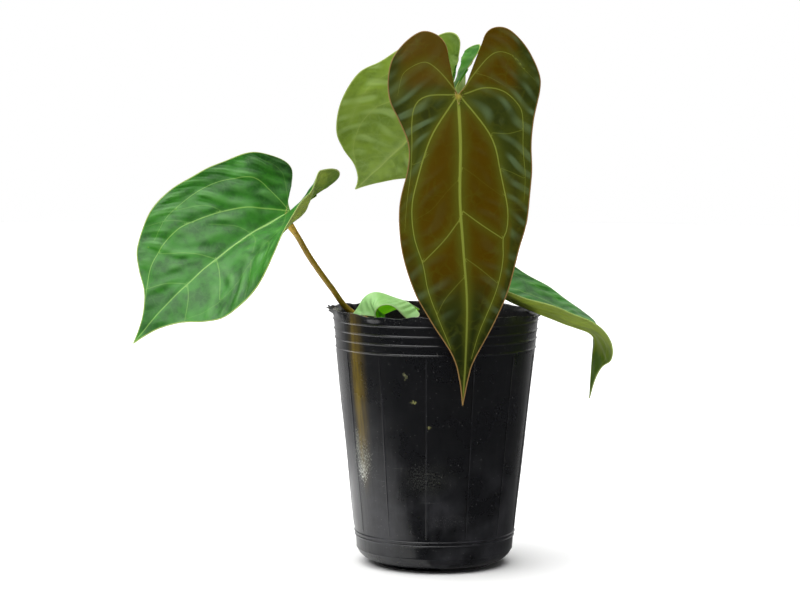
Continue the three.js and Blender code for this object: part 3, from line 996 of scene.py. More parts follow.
@dataclass(eq=False)
class Blade:
    """One leaf blade: a flat veined outline, folded and curled about a midrib that droops.

    Angles are degrees. heading 0 is +X and 90 is +Y; dive is how far the midrib points down at the
    petiole; roll turns the blade about it; droop and bend add dive towards the tip; rise tips the
    lobes back; fold and curl lift each half and curve it on.
    """

    name: str
    at: Place
    heading: float
    dive: float
    roll: float
    droop: Pair
    rise: float
    upper: BladeFinish
    under: BladeFinish
    slot: str = "green_leaf"
    veins: Venation = GROWN
    outlines: tuple = (HEART, HEART)
    width: float = 1.0
    length: float = 1.0
    bend: Place = (0, 0, 1)
    sway: tuple[float, ...] = (0, 0)
    fold: Pair = (0, 0)
    fold_tip: Pair = (0, 0)
    fold_base: Pair = (0, 0)
    base_span: float = 0.45
    curl: Pair = (0, 0)
    tuck: Pair = (0, 0)
    ruffle: tuple[Pair, float, float] = ((0, 0), 1, 0)
    thickness: float = 0.6
    quilt: float = 0.7
    margin_steps: int = 250
    across_steps: int = 58

    def __post_init__(self) -> None:
        """Works out the reach, the blade's own axes and the midrib's path.

        The path is the sum of short steps along + cos(turn) and - normal * sin(turn).
        """
        scale = np.array([self.width, self.length])
        self.halves = [np.array(outline, float) * scale for outline in self.outlines]
        self.reach = float(self.halves[0][0, 1])
        h, d = math.radians(self.heading), math.radians(self.dive)
        self.along = np.array([math.cos(h) * math.cos(d), math.sin(h) * math.cos(d), -math.sin(d)])
        level = unit(np.array([0.0, 0.0, 1.0]) - self.along * self.along[2])
        rolled = Matrix.Rotation(math.radians(self.roll), 3, Vector(self.along))
        self.normal = np.array(rolled @ Vector(level))
        self.across = np.cross(self.normal, self.along)
        step = self.reach / PATH_STEPS
        count = np.arange(-BEHIND_STEPS, PATH_STEPS + AHEAD_STEPS + 1)
        turn = self.turn((count[:-1] + 0.5) / PATH_STEPS)[:, None]
        moves = (np.cos(turn) * self.along - np.sin(turn) * self.normal) * step
        path = np.vstack([np.zeros(3), np.cumsum(moves, axis=0)])
        self.path_v = count * step
        self.path = path - path[BEHIND_STEPS] + np.array(self.at)

    def turn(self, t: Points) -> Points:
        """Added dive: droop * t^power + bend, or rise * t in the lobes.

        Args:
            t: Places along the midrib, 0 at the petiole and 1 at the tip.

        Returns:
            Angles in radians.
        """
        ahead = np.maximum(t, 0.0)
        sharp = self.bend[0] * smooth((t - self.bend[1]) / self.bend[2])
        droop = self.droop[0] * ahead ** self.droop[1]
        return np.radians(np.where(t > 0, droop + sharp, self.rise * t))

    def middle(self, side: Points, w: Points, v: Points) -> Points:
        """Points of the blade's middle surface.

        Each half leaves the midrib at the angle fold and curves on by curl, so that at distance w
        it has gone (sin(fold + curl w) - sin(fold)) / curl out and the like cosine difference up.

        Args:
            side: -1 on the left half and 1 on the right.
            w: Distance from the midrib on the flat blade.
            v: Distance from the petiole along the midrib.

        Returns:
            Points in millimetres.
        """
        right = side > 0
        t = v / self.reach

        def of(pair: Pair) -> Points:
            """The value of each half's own entry."""
            return np.where(right, pair[1], pair[0])

        turn = self.turn(t)[..., None]
        normal = np.sin(turn) * self.along + np.cos(turn) * self.normal
        inside = np.clip(t, 0.0, 1.0)
        ahead, behind = smooth(t / TUCK_END), smooth((TUCK_FULL - t) / TUCK_FULL)
        tuck = of(self.tuck) * (1 - ahead) * (1 - behind)
        fold = of(self.fold) + of(self.fold_tip) * inside - TUCK_FOLD * tuck
        fold = np.radians(fold + of(self.fold_base) * (1 - smooth(t / self.base_span)))
        curl = np.radians(of(self.curl) + tuck) / 100
        curl = np.where(np.abs(curl) < 1e-6, 1e-6, curl)
        out = (np.sin(fold + curl * w) - np.sin(fold)) / curl
        heights, count, phase = self.ruffle
        up = (np.cos(fold) - np.cos(fold + curl * w)) / curl
        up = up - side * of(heights) * (w / 50) ** 2 * np.sin(FULL_TURN * (count * t + phase))
        drift = curve_through(np.array(self.sway, float), inside * (len(self.sway) - 1))
        spine = np.stack([np.interp(v, self.path_v, self.path[:, k]) for k in range(3)], axis=-1)
        return spine + self.across * (side * out + drift)[..., None] + normal * up[..., None]

    def lay_out(self) -> tuple[Points, Points, Points, Points]:
        """Flat grid of both halves, fanned from the midrib to the margin.

        Row i runs straight from (0, from_i) on the midrib to point i of the margin; from_i falls
        evenly from the tip to the hub, where the lobes' rows all start.

        Returns:
            Flat positions (n, 2), triangles, each vertex's distance to the margin, and the margin's
            edges as pairs of vertices that run the same way round.
        """
        share = 1 - (1 - np.linspace(0, 1, self.across_steps + 1)) ** FAN_POWER
        hub = HUB_SHARE * self.reach
        flats, gaps, faces, rims = [], [], [], []
        turn_at = None
        size = (self.margin_steps + 1) * (self.across_steps + 1)
        for side in Side:
            margin = even_curve(self.halves[side.index], self.margin_steps)
            if turn_at is None:
                turn_at = int(np.argmax(margin[:, 1] < LOBE_SHARE * self.reach))
            start = hub + (self.reach - hub) * np.maximum(0, 1 - np.arange(len(margin)) / turn_at)
            w = np.maximum(margin[:, :1] * share, 0)
            v = start[:, None] + (margin[:, 1:] - start[:, None]) * share
            flats.append(np.stack([side.value * w, v], axis=-1).reshape(-1, 2))
            length = np.hypot(margin[:, 0], margin[:, 1] - start)
            gaps.append((length[:, None] * (1 - share)).ravel())
            pair = grid_triangles(len(margin), len(share)) + side.index * size
            faces.append(pair if side is Side.RIGHT else pair[:, ::-1])
            last = np.arange(len(margin)) * len(share) + len(share) - 1 + side.index * size
            edge = np.stack([last[:-1], last[1:]], axis=-1)
            rims.append(edge[:, ::-1] if side is Side.RIGHT else edge)
        flat = np.concatenate(flats)
        first, group, joined = welded(flat, np.concatenate(faces))
        rim = group[np.concatenate(rims)]
        return flat[first], joined, np.concatenate(gaps)[first], rim[rim[:, 0] != rim[:, 1]]

    def marks_on(self, flat: Points, gap: Points) -> dict[str, Points]:
        """Where each vertex lies against its nearest vein, the margin and the petiole.

        Args:
            flat: Flat positions of the vertices.
            gap: Their distances to the margin.

        Returns:
            One value for each vertex: "near", the distance to the nearest vein in millimetres;
                "offset", the same, signed, in that vein's half widths; "strength", how clearly the
                vein shows; "halo", exp(-(near / spread)^2) for the paler flesh beside it; "gap",
                the distance to the margin; "hub", round the petiole; "ridge", the vein's height
                underneath; and "tip", towards the blade's end, where painted shade darkens the new
                blade.
        """
        scale = np.array([self.width, self.length])
        own = max(self.width, SMALLEST_VEINS)
        w, v = np.abs(flat[:, 0]), flat[:, 1]
        t = np.clip(v / self.reach, 0, 1)
        half = own * (self.veins.midrib - MIDRIB_TAPER * self.veins.midrib * t)
        near = np.hypot(w, np.minimum(v, 0))
        offset = np.where(flat[:, 0] < 0, -near, near) / half
        strength = 1 - 0.4 * smooth((t - 0.3) / 0.6)
        spread = self.veins.halo_mm * (1 - 0.65 * smooth((t - 0.4) / 0.5))
        dying = 1 - 0.75 * smooth((t - 0.68) / 0.25)
        halo = dying * bell(near / (1.15 * spread))
        ridge = 1.15 * own * bell(near / (own * (1.5 - 0.9 * t))) * (1 - 0.85 * t)
        for side, veins in ((Side.LEFT, self.veins.left), (Side.RIGHT, self.veins.right)):
            here = np.flatnonzero(flat[:, 0] * side.value >= -OVERLAP_MM)
            at = np.stack([flat[here, 0] * side.value, v[here]], axis=-1)
            for one in veins:
                line = even_curve(np.array(one.line, float) * scale, VEIN_STEPS)
                far, part = distance_to_line(at, line)
                half = own * (one.start + (one.end - one.start) * part)
                closer = (np.abs(far) < near[here]) & (np.abs(offset[here]) > 1)
                chosen = here[closer]
                near[chosen], strength[chosen] = np.abs(far[closer]), one.strength
                offset[chosen] = (far / half)[closer]
                glow = one.strength * dying[here] * bell(far / spread[here])
                halo[here] = np.maximum(halo[here], glow)
                raised = one.strength * half * bell(far / (1.8 * half))
                ridge[here] = np.maximum(ridge[here], raised)
        return {
            "near": near,
            "offset": np.clip(offset, -FAR_OFFSET, FAR_OFFSET),
            "strength": strength * smooth(gap / 1.5),
            "halo": halo,
            "gap": np.minimum(gap, FAR_GAP_MM),
            "hub": bell(np.hypot(w, v - 1.0) / (1.5 * own)),
            "ridge": ridge,
            # Painted shade sets in towards the blade's end.
            "tip": smooth((flat[:, 1] / self.reach - 0.5) / 0.4),
        }

    def flush_and_shade_on(self, flat: Points) -> Points:
        """Where the blade takes its second colour, which on a green blade is painted shade: its
        lobes, and the hanging end of a bent one.

        Args:
            flat: Flat positions of the vertices.

        Returns:
            Shares from 0 to 1.
        """
        t = flat[:, 1] / self.reach
        hanging = smooth((t - self.bend[1] - 0.02) / 0.16) if self.bend[0] else np.zeros_like(t)
        return np.maximum(0.8 * smooth((0.1 - t) / 0.25), 0.9 * hanging)

    def swell(self, flat: Points, marks: dict[str, Points], gap: Points) -> Points:
        """Quilting: the flesh rises between the veins, ribbed across and rippled at the margin.

        height = quilt * (0.6 (1 - halo) + rib waves of (v - slope w) + short ripples + slow lumps),
        the ribs and ripples of uneven strength and running out of step here and there. The crests
        of the ribs are kept as the mark "rib", which carries the paler painted sheen bands.

        Args:
            flat: Flat positions of the vertices.
            marks: The marks on the vertices.
            gap: Their distances to the margin.

        Returns:
            Heights in millimetres.
        """
        w, v = np.abs(flat[:, 0]) / self.width, flat[:, 1] / self.length
        x, y, seed = flat[:, 0], flat[:, 1], len(self.name)
        phase = v - self.veins.slope * w - 0.004 * w**2
        drift = 0.6 * waves(x, y, UNEVEN_MM, 11 + seed)
        power = 0.5 + 1.2 * waves(x, y, BROKEN_MM, 17 + seed)
        ribs = np.cos(FULL_TURN * (phase / self.veins.rib_mm + drift)) * smooth(w / 14) * power
        ripples = np.cos(FULL_TURN * (phase / self.veins.ripple_mm + 2.5 * drift))
        ripples = ripples * smooth((w - 24) / 16)
        marks["rib"] = np.clip(1.5 * ribs, 0, 1) * smooth(w / 18) * smooth(gap / 1.5)
        lumps = waves(x, y, LUMP_MM, 5 + seed)
        lumps = lumps + 0.2 * waves(x, y, FINE_LUMP_MM, 6 + seed)
        calm = smooth(gap / 5)
        return self.quilt * (
            (1 - marks["halo"]) * 0.6
            + self.veins.rib * ribs * calm
            + self.veins.ripple * ripples * power * smooth(gap / 2.5)
            + self.veins.lumps * lumps * (0.3 + 0.7 * calm)
        )

    def shell(self) -> Shell:
        """The blade as a closed thin solid: two quilted faces and a rounded margin.

        Returns:
            The shell with its marks, its flat map and one material slot for each face.
        """
        flat, faces, gap, rim = self.lay_out()
        side = np.where(flat[:, 0] > 0, 1.0, -1.0)
        middle = self.middle(side, np.abs(flat[:, 0]), flat[:, 1])
        marks = self.marks_on(flat, gap)
        normals = vertex_normals(middle, faces)
        ridge = marks.pop("ridge")
        swell = self.swell(flat, marks, gap)
        half = self.thickness / 2
        top = middle + normals * (swell + half + UPPER_RIDGE * ridge)[:, None]
        bottom = middle + normals * (swell - half - UNDER_RIDGE * ridge)[:, None]
        count = len(flat)
        edge_ids, place = np.unique(rim, return_inverse=True)
        place = place.reshape(rim.shape)
        out = np.cross(middle[rim[:, 1]] - middle[rim[:, 0]], normals[rim[:, 0]])
        away = np.zeros((len(edge_ids), 3))
        for k in range(2):
            np.add.at(away, place[:, k], -out)
        edge_middle = (top[edge_ids] + bottom[edge_ids]) / 2
        lip = edge_middle + unit(away) * MARGIN_BULGE * self.thickness
        a, b = rim.T
        m, n = place.T + 2 * count
        strips = [(a, b, n), (a, n, m), (m, n, b + count), (m, b + count, a + count)]
        rims = np.concatenate([np.stack(strip, axis=-1) for strip in strips])
        # Where the second colour goes: bronze on the new blade, painted shade on a green blade.
        marks["flush_and_shade"] = np.clip(self.flush_and_shade_on(flat), 0, 1)
        # The painted sheen bands fade on the second colour and towards the tip.
        marks["rib"] = marks["rib"] * (1 - 0.9 * marks["flush_and_shade"]) * (1 - 0.8 * marks["tip"])
        whole = {key: np.concatenate([one, one, one[edge_ids]]) for key, one in marks.items()}
        slots = [Face.UPPER.value, Face.UNDER.value, Face.UPPER.value]
        return Shell(
            np.concatenate([top, bottom, lip]),
            np.concatenate([faces, faces[:, ::-1] + count, rims]),
            np.repeat(slots, [len(faces), len(faces), len(rims)]),
            whole,
            np.concatenate([flat, flat, flat[edge_ids]]),
        )

    def build(self) -> Piece:
        """Builds and dresses the blade."""
        finishes = [self.upper.build(), self.under.build()]
        return self.shell().put(f"blade_{self.name}", finishes, self.slot, [f"leaf_{self.name}"])

    def foot(self) -> Points:
        """The petiole's last two points: straight below the blade, and just under its middle."""
        spot = self.middle(np.array([1.0]), np.array([0.0]), np.array([2.5]))[0]
        return np.stack([spot - KNEE_MM * self.normal, spot - KNEE_SINK_MM * self.normal])


@dataclass(eq=False)
class NewBlade(Blade):
    """The newest blade, still bronze between its inner veins and in its lobes."""

    def flush_and_shade_on(self, flat: Points) -> Points:
        """Bronze inside the inner pair of veins until it greens at v = 96 mm, and in the lobes.

        Args:
            flat: Flat positions of the vertices.

        Returns:
            Shares from 0 to 1.
        """
        w, v = np.abs(flat[:, 0]), flat[:, 1]
        inner = np.interp(v, [0, 25, 58, 80, 103, 134, 160], [1, 18, 27, 29, 25, 18, 6])
        greening = 1 - 0.95 * smooth((v - 96) / 50)
        panel = (1 - smooth((w - inner + 1) / 4)) * greening * smooth((v - 2) / 12)
        lobes = smooth((6 - v) / 22) * (1 - 0.9 * smooth((w - 29) / 13))
        outside = smooth((w - inner) / 4)
        margin = 0.6 * smooth((v - 42) / 16) * (1 - smooth((v - 105) / 30)) * outside
        return np.maximum(np.maximum(panel, lobes), np.where(flat[:, 0] < 0, margin, 0.4 * margin))


@dataclass
class Petiole:
    """Leaf stalk from its socket in the crown to the swollen knee under its blade."""

    blade: Blade
    path: tuple[Place, ...]
    radius: float = 1.75
    flare: float = 0.5
    flare_fall: float = 9
    knee: float = 2.3
    knee_from: float = 0.86
    knee_span: float = 0.07
    steps: int = 110
    sides: int = 20

    def build(self, material: Material) -> Piece:
        """Builds the stalk: radius + flare * exp(-flare_fall * t), swelling smoothly to the knee.

        Args:
            material: The stalk's skin.

        Returns:
            The new object.
        """
        path = even_curve(np.vstack([np.array(self.path, float), self.blade.foot()]), self.steps)
        t = np.linspace(0, 1, self.steps + 1)
        swelling = (self.knee - self.radius) * smooth((t - self.knee_from) / self.knee_span)
        radius = self.radius + self.flare * np.exp(-self.flare_fall * t) + swelling
        turn = even_angles(self.sides)
        flat_top = 0.05 * np.cos(2 * turn) + 0.02 * np.cos(5 * turn + 1)
        shape = tube(path, radius[:, None] * (1 + flat_top), self.sides)
        name = f"petiole_{self.blade.name}"
        return shape.put(f"stalk_{self.blade.name}", [material], "petiole", [name])


# Profiles of the pot as (radius, height): the outside of its foot, and inside down to its floor.
FOOT_OUTSIDE = np.array([
    (0, 0.9), (33.2, 0.9), (34.4, 0.35), (35.2, 0.05), (36, 0), (36.3, 0.4), (36.45, 2.3),
    (36.9, 2.65), (41.6, 2.95), (42.6, 3.15), (43.6, 3.55), (44.8, 4.2), (46.2, 5.4), (47.4, 6.7),
    (48.2, 8.0), (48.7, 9.2), (49.2, 9.7), (49.3, 9.95), (49.2, 10.2),
])
FOOT_INSIDE = np.array([
    (47.9, 10.4), (46.3, 7.9), (43.5, 5.3), (41.3, 4.3), (35.4, 3.9), (35, 1.6), (20, 1.6),
    (0, 1.6),
])


@dataclass
class Pot:
    """Tall thin-walled nursery pot: rings under the lip, a double ring at the foot, pinched lip."""

    profile: tuple[Pair, ...] = (
        (49.2, 10.4), (49.8, 17), (50.3, 20.4), (62.6, 136.8), (64.1, 154), (64.4, 156.4),
        (64.8, 158.2), (65, 159.4),
    )
    lip_rows: tuple[float, ...] = (156.9, 157.6, 158.2, 158.8, 159.2)
    middle_radius: float = 58.0
    wall: float = 1.0
    rings: tuple[float, ...] = (18.0, 20.4, 136.8, 142.6, 148.1, 154.0)
    ring_relief: float = 0.5
    ring_width: float = 0.42
    worn_bands: Pair = (58.0, 76.0)
    seams: int = 13
    seam_offset: float = math.radians(-96.4)
    seam_relief: float = 0.3
    seam_width: float = 0.3
    seam_from: float = 21.5
    seam_to: float = 135.5

    def outer_radius(self, z: Points) -> Points:
        """Radius of the outer face above the foot, straight between the profile's corners."""
        radii, heights = zip(*self.profile)
        return np.interp(z, heights, radii)

    def crimped(self, r: Points, z: Points, angle: Points) -> tuple[Points, Points]:
        """The lip's waves, its torn flaring side and its pressed-down side, as sines of the angle.

        Args:
            r: Radii before crimping.
            z: Heights before crimping.
            angle: Angles in radians.

        Returns:
            Radii and heights after crimping.
        """

        def near(centre: float, span: float) -> Points:
            """Bell of the angle about a centre."""
            return bell((np.mod(angle - centre + 3 * math.pi, FULL_TURN) - math.pi) / span)

        def sines(*terms: tuple[float, int, float]) -> Points:
            """Sum of height * sin(count * angle + phase)."""
            return sum(height * np.sin(count * angle + phase) for height, count, phase in terms)

        lip = smooth((z - 155) / 3.5)
        wave = lip * (1 + 1.4 * near(2.95, 0.35) + 1.2 * near(-1.9, 0.45))
        ragged = lip * (0.15 + 0.7 * near(3.05, 0.3) + 0.3 * near(0.1, 0.4))
        flare = smooth((z - 156.5) / 2.8) * (3.0 * near(3.12, 0.24) + 0.9 * near(0.1, 0.3))
        fine = ragged * sines((1, 61, 0), (0.7, 97, 1.3), (0.5, 143, 0.4))
        r = r + wave * sines((0.35, 11, 0.7), (0.25, 23, 2)) + 0.5 * fine
        r = r + flare * (1 + sines((0.25, 47, 0), (0.2, 83, 1)))
        z = z + wave * sines((0.3, 7, 1), (0.25, 17, 0)) + 0.35 * fine
        return r, z + lip * (1.1 * near(3.1, 0.7) - 1.8 * near(-0.1, 0.5))

    def angles(self) -> Points:
        """Columns of the wall: seven close ones across each mould seam and wider ones between.

        Returns:
            The columns' angles in radians, rising.
        """
        pitch = FULL_TURN / self.seams
        close = np.array([-0.9, -0.5, -0.25, 0.0, 0.25, 0.5, 0.9]) / self.middle_radius
        wide = np.linspace(close[-1], pitch + close[0], 20)[1:-1]
        one = np.concatenate([close, wide])
        return self.seam_offset + (np.arange(self.seams)[:, None] * pitch + one).ravel()

    def build(self, material: Material) -> Piece:
        """Builds the pot: outer wall with rings and seams, rolled lip, inner wall and floor.

        radius = profile + ring bumps + seam ridges + slow waves of the blown wall.

        Args:
            material: The pot's skin.

        Returns:
            The new object.
        """
        angle = self.angles()
        bumps = np.array([-1.1, -0.75, -0.45, -0.2, 0, 0.2, 0.45, 0.75, 1.1])
        foot, rim = self.profile[0][1], self.profile[-1][1]
        # Rows of the mesh: 2 mm apart up the wall and closer over each ring, then the lip, and
        # 6 mm apart down the inside.
        wall = np.concatenate([np.linspace(foot, 156.2, 74), *(z + bumps for z in self.rings)])
        wall = np.unique(np.round(wall, 3))
        lip = np.array([*self.lip_rows, rim])
        under = np.concatenate([np.linspace(rim, 154.0, 8), np.linspace(150, 12, 24)])
        inner = self.outer_radius(under) - self.wall
        rows = np.concatenate([FOOT_OUTSIDE[:, 1], wall, lip, under, FOOT_INSIDE[:, 1]])
        reach = [FOOT_OUTSIDE[:, 0], self.outer_radius(wall), self.outer_radius(lip)]
        radii = np.concatenate([*reach, inner, FOOT_INSIDE[:, 0]])
        outside = (np.arange(len(rows)) < sum(map(len, reach)))[:, None]
        rows, radii = rows[:, None], radii[:, None]
        ones = np.ones_like(angle)
        pitch = FULL_TURN / self.seams
        seam = np.cos(self.seams * (angle - self.seam_offset) / 2) ** 2
        off = np.mod(angle - self.seam_offset + pitch / 2, pitch) - pitch / 2
        off = off * self.middle_radius
        span = smooth((rows - self.seam_from) / 2) * smooth((self.seam_to - rows) / 2) * outside
        ridge = self.seam_relief * bell(off / self.seam_width) * span
        rings = sum(self.ring_relief * bell((rows - ring) / self.ring_width) for ring in self.rings)
        blown = smooth((rows - 22) / 12) * smooth((156 - rows) / 6)
        around = angle[None, :] * self.middle_radius
        slow = 0.2 * waves(around, rows, 46, 3) + 0.05 * waves(around, rows, 13, 8)
        bands = sum(0.05 * bell((rows - band) / 0.8) for band in self.worn_bands)
        detail = ridge + rings + bands - 0.04 * seam * blown
        r = radii + slow * blown + np.where(outside, detail, 0)
        r, z = self.crimped(np.where(radii < 30, radii, r), rows * ones, angle)
        crest = sum(bell((rows - ring) / 0.3) for ring in self.rings)
        marks = {
            # Painted highlight along the seam's crest.
            "seam": bell((off - 0.3) / 0.3) * span,
            # Painted shade beside the seam.
            "seam_shade": bell((off + 0.35) / 0.3) * span,
            # Painted highlight along the rings.
            "ring": crest * ones,
            "inside": ~outside * ones,
        }
        r = np.where(radii == 0, 0, r)
        return revolved(r, z, angle, marks).put("pot_wall", [material], "pot", ["pot"])


@dataclass
class Crumbs:
    """Loose pieces lying on the mix: many small rounded bricks of random size and turn."""

    count: int
    size: Place
    spread: float
    seed: int
    tone: Pair
    inner: float = 13.0
    outer: float = 57.0
    level: float = 137.6

    def brick(self) -> tuple[Points, Points]:
        """A brick of 24 square faces, its corners drawn in: a cube's points over their 4-norm.

        Returns:
            The points and the triangles.
        """
        span = np.array([-1.0, 0.0, 1.0])
        x, y = np.meshgrid(span, span, indexing="ij")
        one = np.ones_like(x)
        sides = [(x, y, one), (y, x, -one), (one, x, y), (-one, y, x), (y, one, x), (x, -one, y)]
        points = np.concatenate([np.stack(side, axis=-1).reshape(-1, 3) for side in sides])
        faces = np.concatenate([grid_triangles(3, 3) + x.size * k for k in range(len(sides))])
        first, _, faces = welded(points, faces)
        kept = points[first]
        return kept / (np.abs(kept) ** 4).sum(axis=1, keepdims=True) ** 0.25, faces

    def shell(self) -> Shell:
        """All the bricks as one mesh: point = place + turn * (brick * size * jitter).

        Returns:
            The shell with the mark "tone", one value for each brick.
        """
        draw = np.random.default_rng(self.seed)
        brick, faces = self.brick()
        radius = np.sqrt(draw.uniform(self.inner**2, self.outer**2, self.count))
        angle = draw.uniform(0, FULL_TURN, self.count)
        size = np.array(self.size) * draw.uniform(0.45, 1.25, (self.count, 1))
        size = size * draw.uniform(0.7, 1.3, (self.count, 3))
        height = self.level + 0.35 * size[:, 2] + draw.uniform(-0.6, 0.9, self.count)
        place = np.stack([*on_circle(radius, angle), height], axis=-1)
        yaw = draw.uniform(0, FULL_TURN, self.count)
        tip, roll = (draw.normal(0, self.spread, self.count) for _ in range(2))
        uneven = draw.uniform(0.8, 1.2, (self.count, len(brick), 3))
        local = brick[None] * size[:, None, :] * uneven / 2
        for turn, (p, q) in ((roll, (1, 2)), (tip, (0, 2)), (yaw, (0, 1))):
            a, b = local[..., p].copy(), local[..., q].copy()
            cos, sin = np.cos(turn)[:, None], np.sin(turn)[:, None]
            local[..., p], local[..., q] = a * cos - b * sin, a * sin + b * cos
        points = (local + place[:, None]).reshape(-1, 3)
        whole = (faces[None] + np.arange(self.count)[:, None, None] * len(brick)).reshape(-1, 3)
        tone = np.repeat(draw.uniform(*self.tone, self.count), len(brick))
        return Shell(points, whole, marks={"tone": tone})


BARK_CHIPS = Crumbs(count=620, size=(6.2, 3.6, 2.0), spread=0.35, seed=31, tone=(0.1, 1.0))
COIR_CRUMBS = Crumbs(count=900, size=(2.4, 1.8, 1.3), spread=0.7, seed=32, tone=(0.0, 0.8))
PERLITE_GRAINS = Crumbs(
    count=170, size=(2.6, 2.4, 2.1), spread=1.0, seed=33, tone=(0.6, 1.0), level=138.0
)
# Outer side of the filling as (radius, height), from the middle of its foot upwards.
MIX_SIDE = np.array([
    (0, 1.9), (34.6, 1.9), (35, 4.5), (41, 4.9), (43.2, 5.9), (45.9, 8.4), (47.1, 10.9),
    (48.3, 17), (52.6, 60), (56.6, 100), (59.4, 128),
])
MIX_WALL_ROWS = 7  # rows of its foot, below those that follow the pot's wall


@dataclass
class PottingMix:
    """Bark, coir and perlite filling the pot to 22 mm below its lip."""

    level: float = 137.5
    wall_gap: float = 0.4

    def build(self, pot: Pot, mix: Material, perlite: Material) -> Piece:
        """Builds the filling, with lumpy relief on top and loose bark and perlite on it.

        top height = level + 0.9 sin(5 angle + r) + 0.7 sin(9 angle - 0.4 r) + small waves.

        Args:
            pot: The pot that holds it.
            mix: Material of the bark and coir.
            perlite: Material of the white grains.

        Returns:
            The new object.
        """
        angle = even_angles(180)
        gap = pot.wall + self.wall_gap
        side = MIX_SIDE.copy()
        side[MIX_WALL_ROWS:, 0] = pot.outer_radius(side[MIX_WALL_ROWS:, 1]) - gap
        reach = float(pot.outer_radius(self.level - 2)) - gap
        across = np.concatenate([[reach, reach - 0.4], np.linspace(reach - 1.6, 0, 46)])
        r = np.concatenate([side[:, 0], across])[:, None] * np.ones_like(angle)
        z = np.concatenate([side[:, 1], [self.level - 2], np.full(len(across) - 1, self.level)])
        z = z[:, None]
        relief = (0.9 * np.sin(5 * angle + r) + 0.7 * np.sin(9 * angle - 0.4 * r)) * smooth(r / 10)
        x, y = on_circle(r, angle)
        small = 0.8 * waves(x, y, 7, 21) + 0.45 * waves(x, y, 3, 22) - 0.3
        height = (relief + small) * (0.4 + 0.6 * smooth((reach - r) / 4))
        tone = 0.3 + 0.25 * waves(x, y, 5, 23)
        body = revolved(r, z + np.where(z == self.level, height, 0), angle, {"tone": tone})
        whole = body.joined(BARK_CHIPS.shell()).joined(COIR_CRUMBS.shell())
        dark = len(whole.faces)
        whole = whole.joined(PERLITE_GRAINS.shell())
        whole.slots = np.arange(len(whole.faces)) >= dark
        return whole.put("bark_mix", [mix, perlite], "potting_mix", ["potting_mix"])


@dataclass
class Crown:
    """Short rootstock that carries the petioles, with five thick roots diving into the mix."""

    centre: Pair = (-2.0, 4.0)
    roots: tuple[Pair, ...] = ((20, 27), (95, 24), (165, 29), (235, 25), (300, 28))
    profile: tuple[Pair, ...] = (
        (0, 112), (5, 113), (8.5, 119), (9.6, 131), (9.2, 141), (7.6, 147.5), (4, 151), (0, 152),
    )

    def build(self, material: Material) -> Piece:
        """Builds the ringed stem, radius + 0.25 sin(2 pi z / 3.4), and the tapering roots.

        Args:
            material: The bark of the crown.

        Returns:
            The new object.
        """
        angle = even_angles(72)
        line = even_curve(np.array(self.profile, float), 60)
        r, z = line[:, :1] * np.ones_like(angle), line[:, 1:] * np.ones_like(angle)
        knots = 0.25 * np.sin(FULL_TURN * z / 3.4 + 0.6 * np.sin(2 * angle))
        knots = knots + 0.25 * waves(9 * angle, z, 5, 41)
        r = np.where(line[:, :1] < 1e-6, 0, r + knots * smooth(r / 4))
        whole = revolved(r, z, angle, {"tone": smooth((z - 134) / 16)})
        whole.points[:, :2] += self.centre
        for heading, reach in self.roots:
            turn = math.radians(heading)
            x, y = self.centre
            dx, dy = math.cos(turn), math.sin(turn)
            stops = [(4, 139), (reach * 0.45, 141.5), (reach * 0.8, 137), (reach, 124)]
            stops = [(x + far * dx, y + far * dy, high) for far, high in stops]
            path = even_curve(np.array(stops), 40)
            t = np.linspace(0, 1, len(path))
            bumpy = 1.9 - 0.5 * t + 0.12 * np.sin(23 * t + heading) + 0.08 * np.sin(41 * t)
            root = tube(path, bumpy, 14)
            root.marks = {"tone": 0.75 - 0.5 * root.marks["along"]}
            whole = whole.joined(root)
        return whole.put("rootstock", [material], "crown", ["root_crown"])


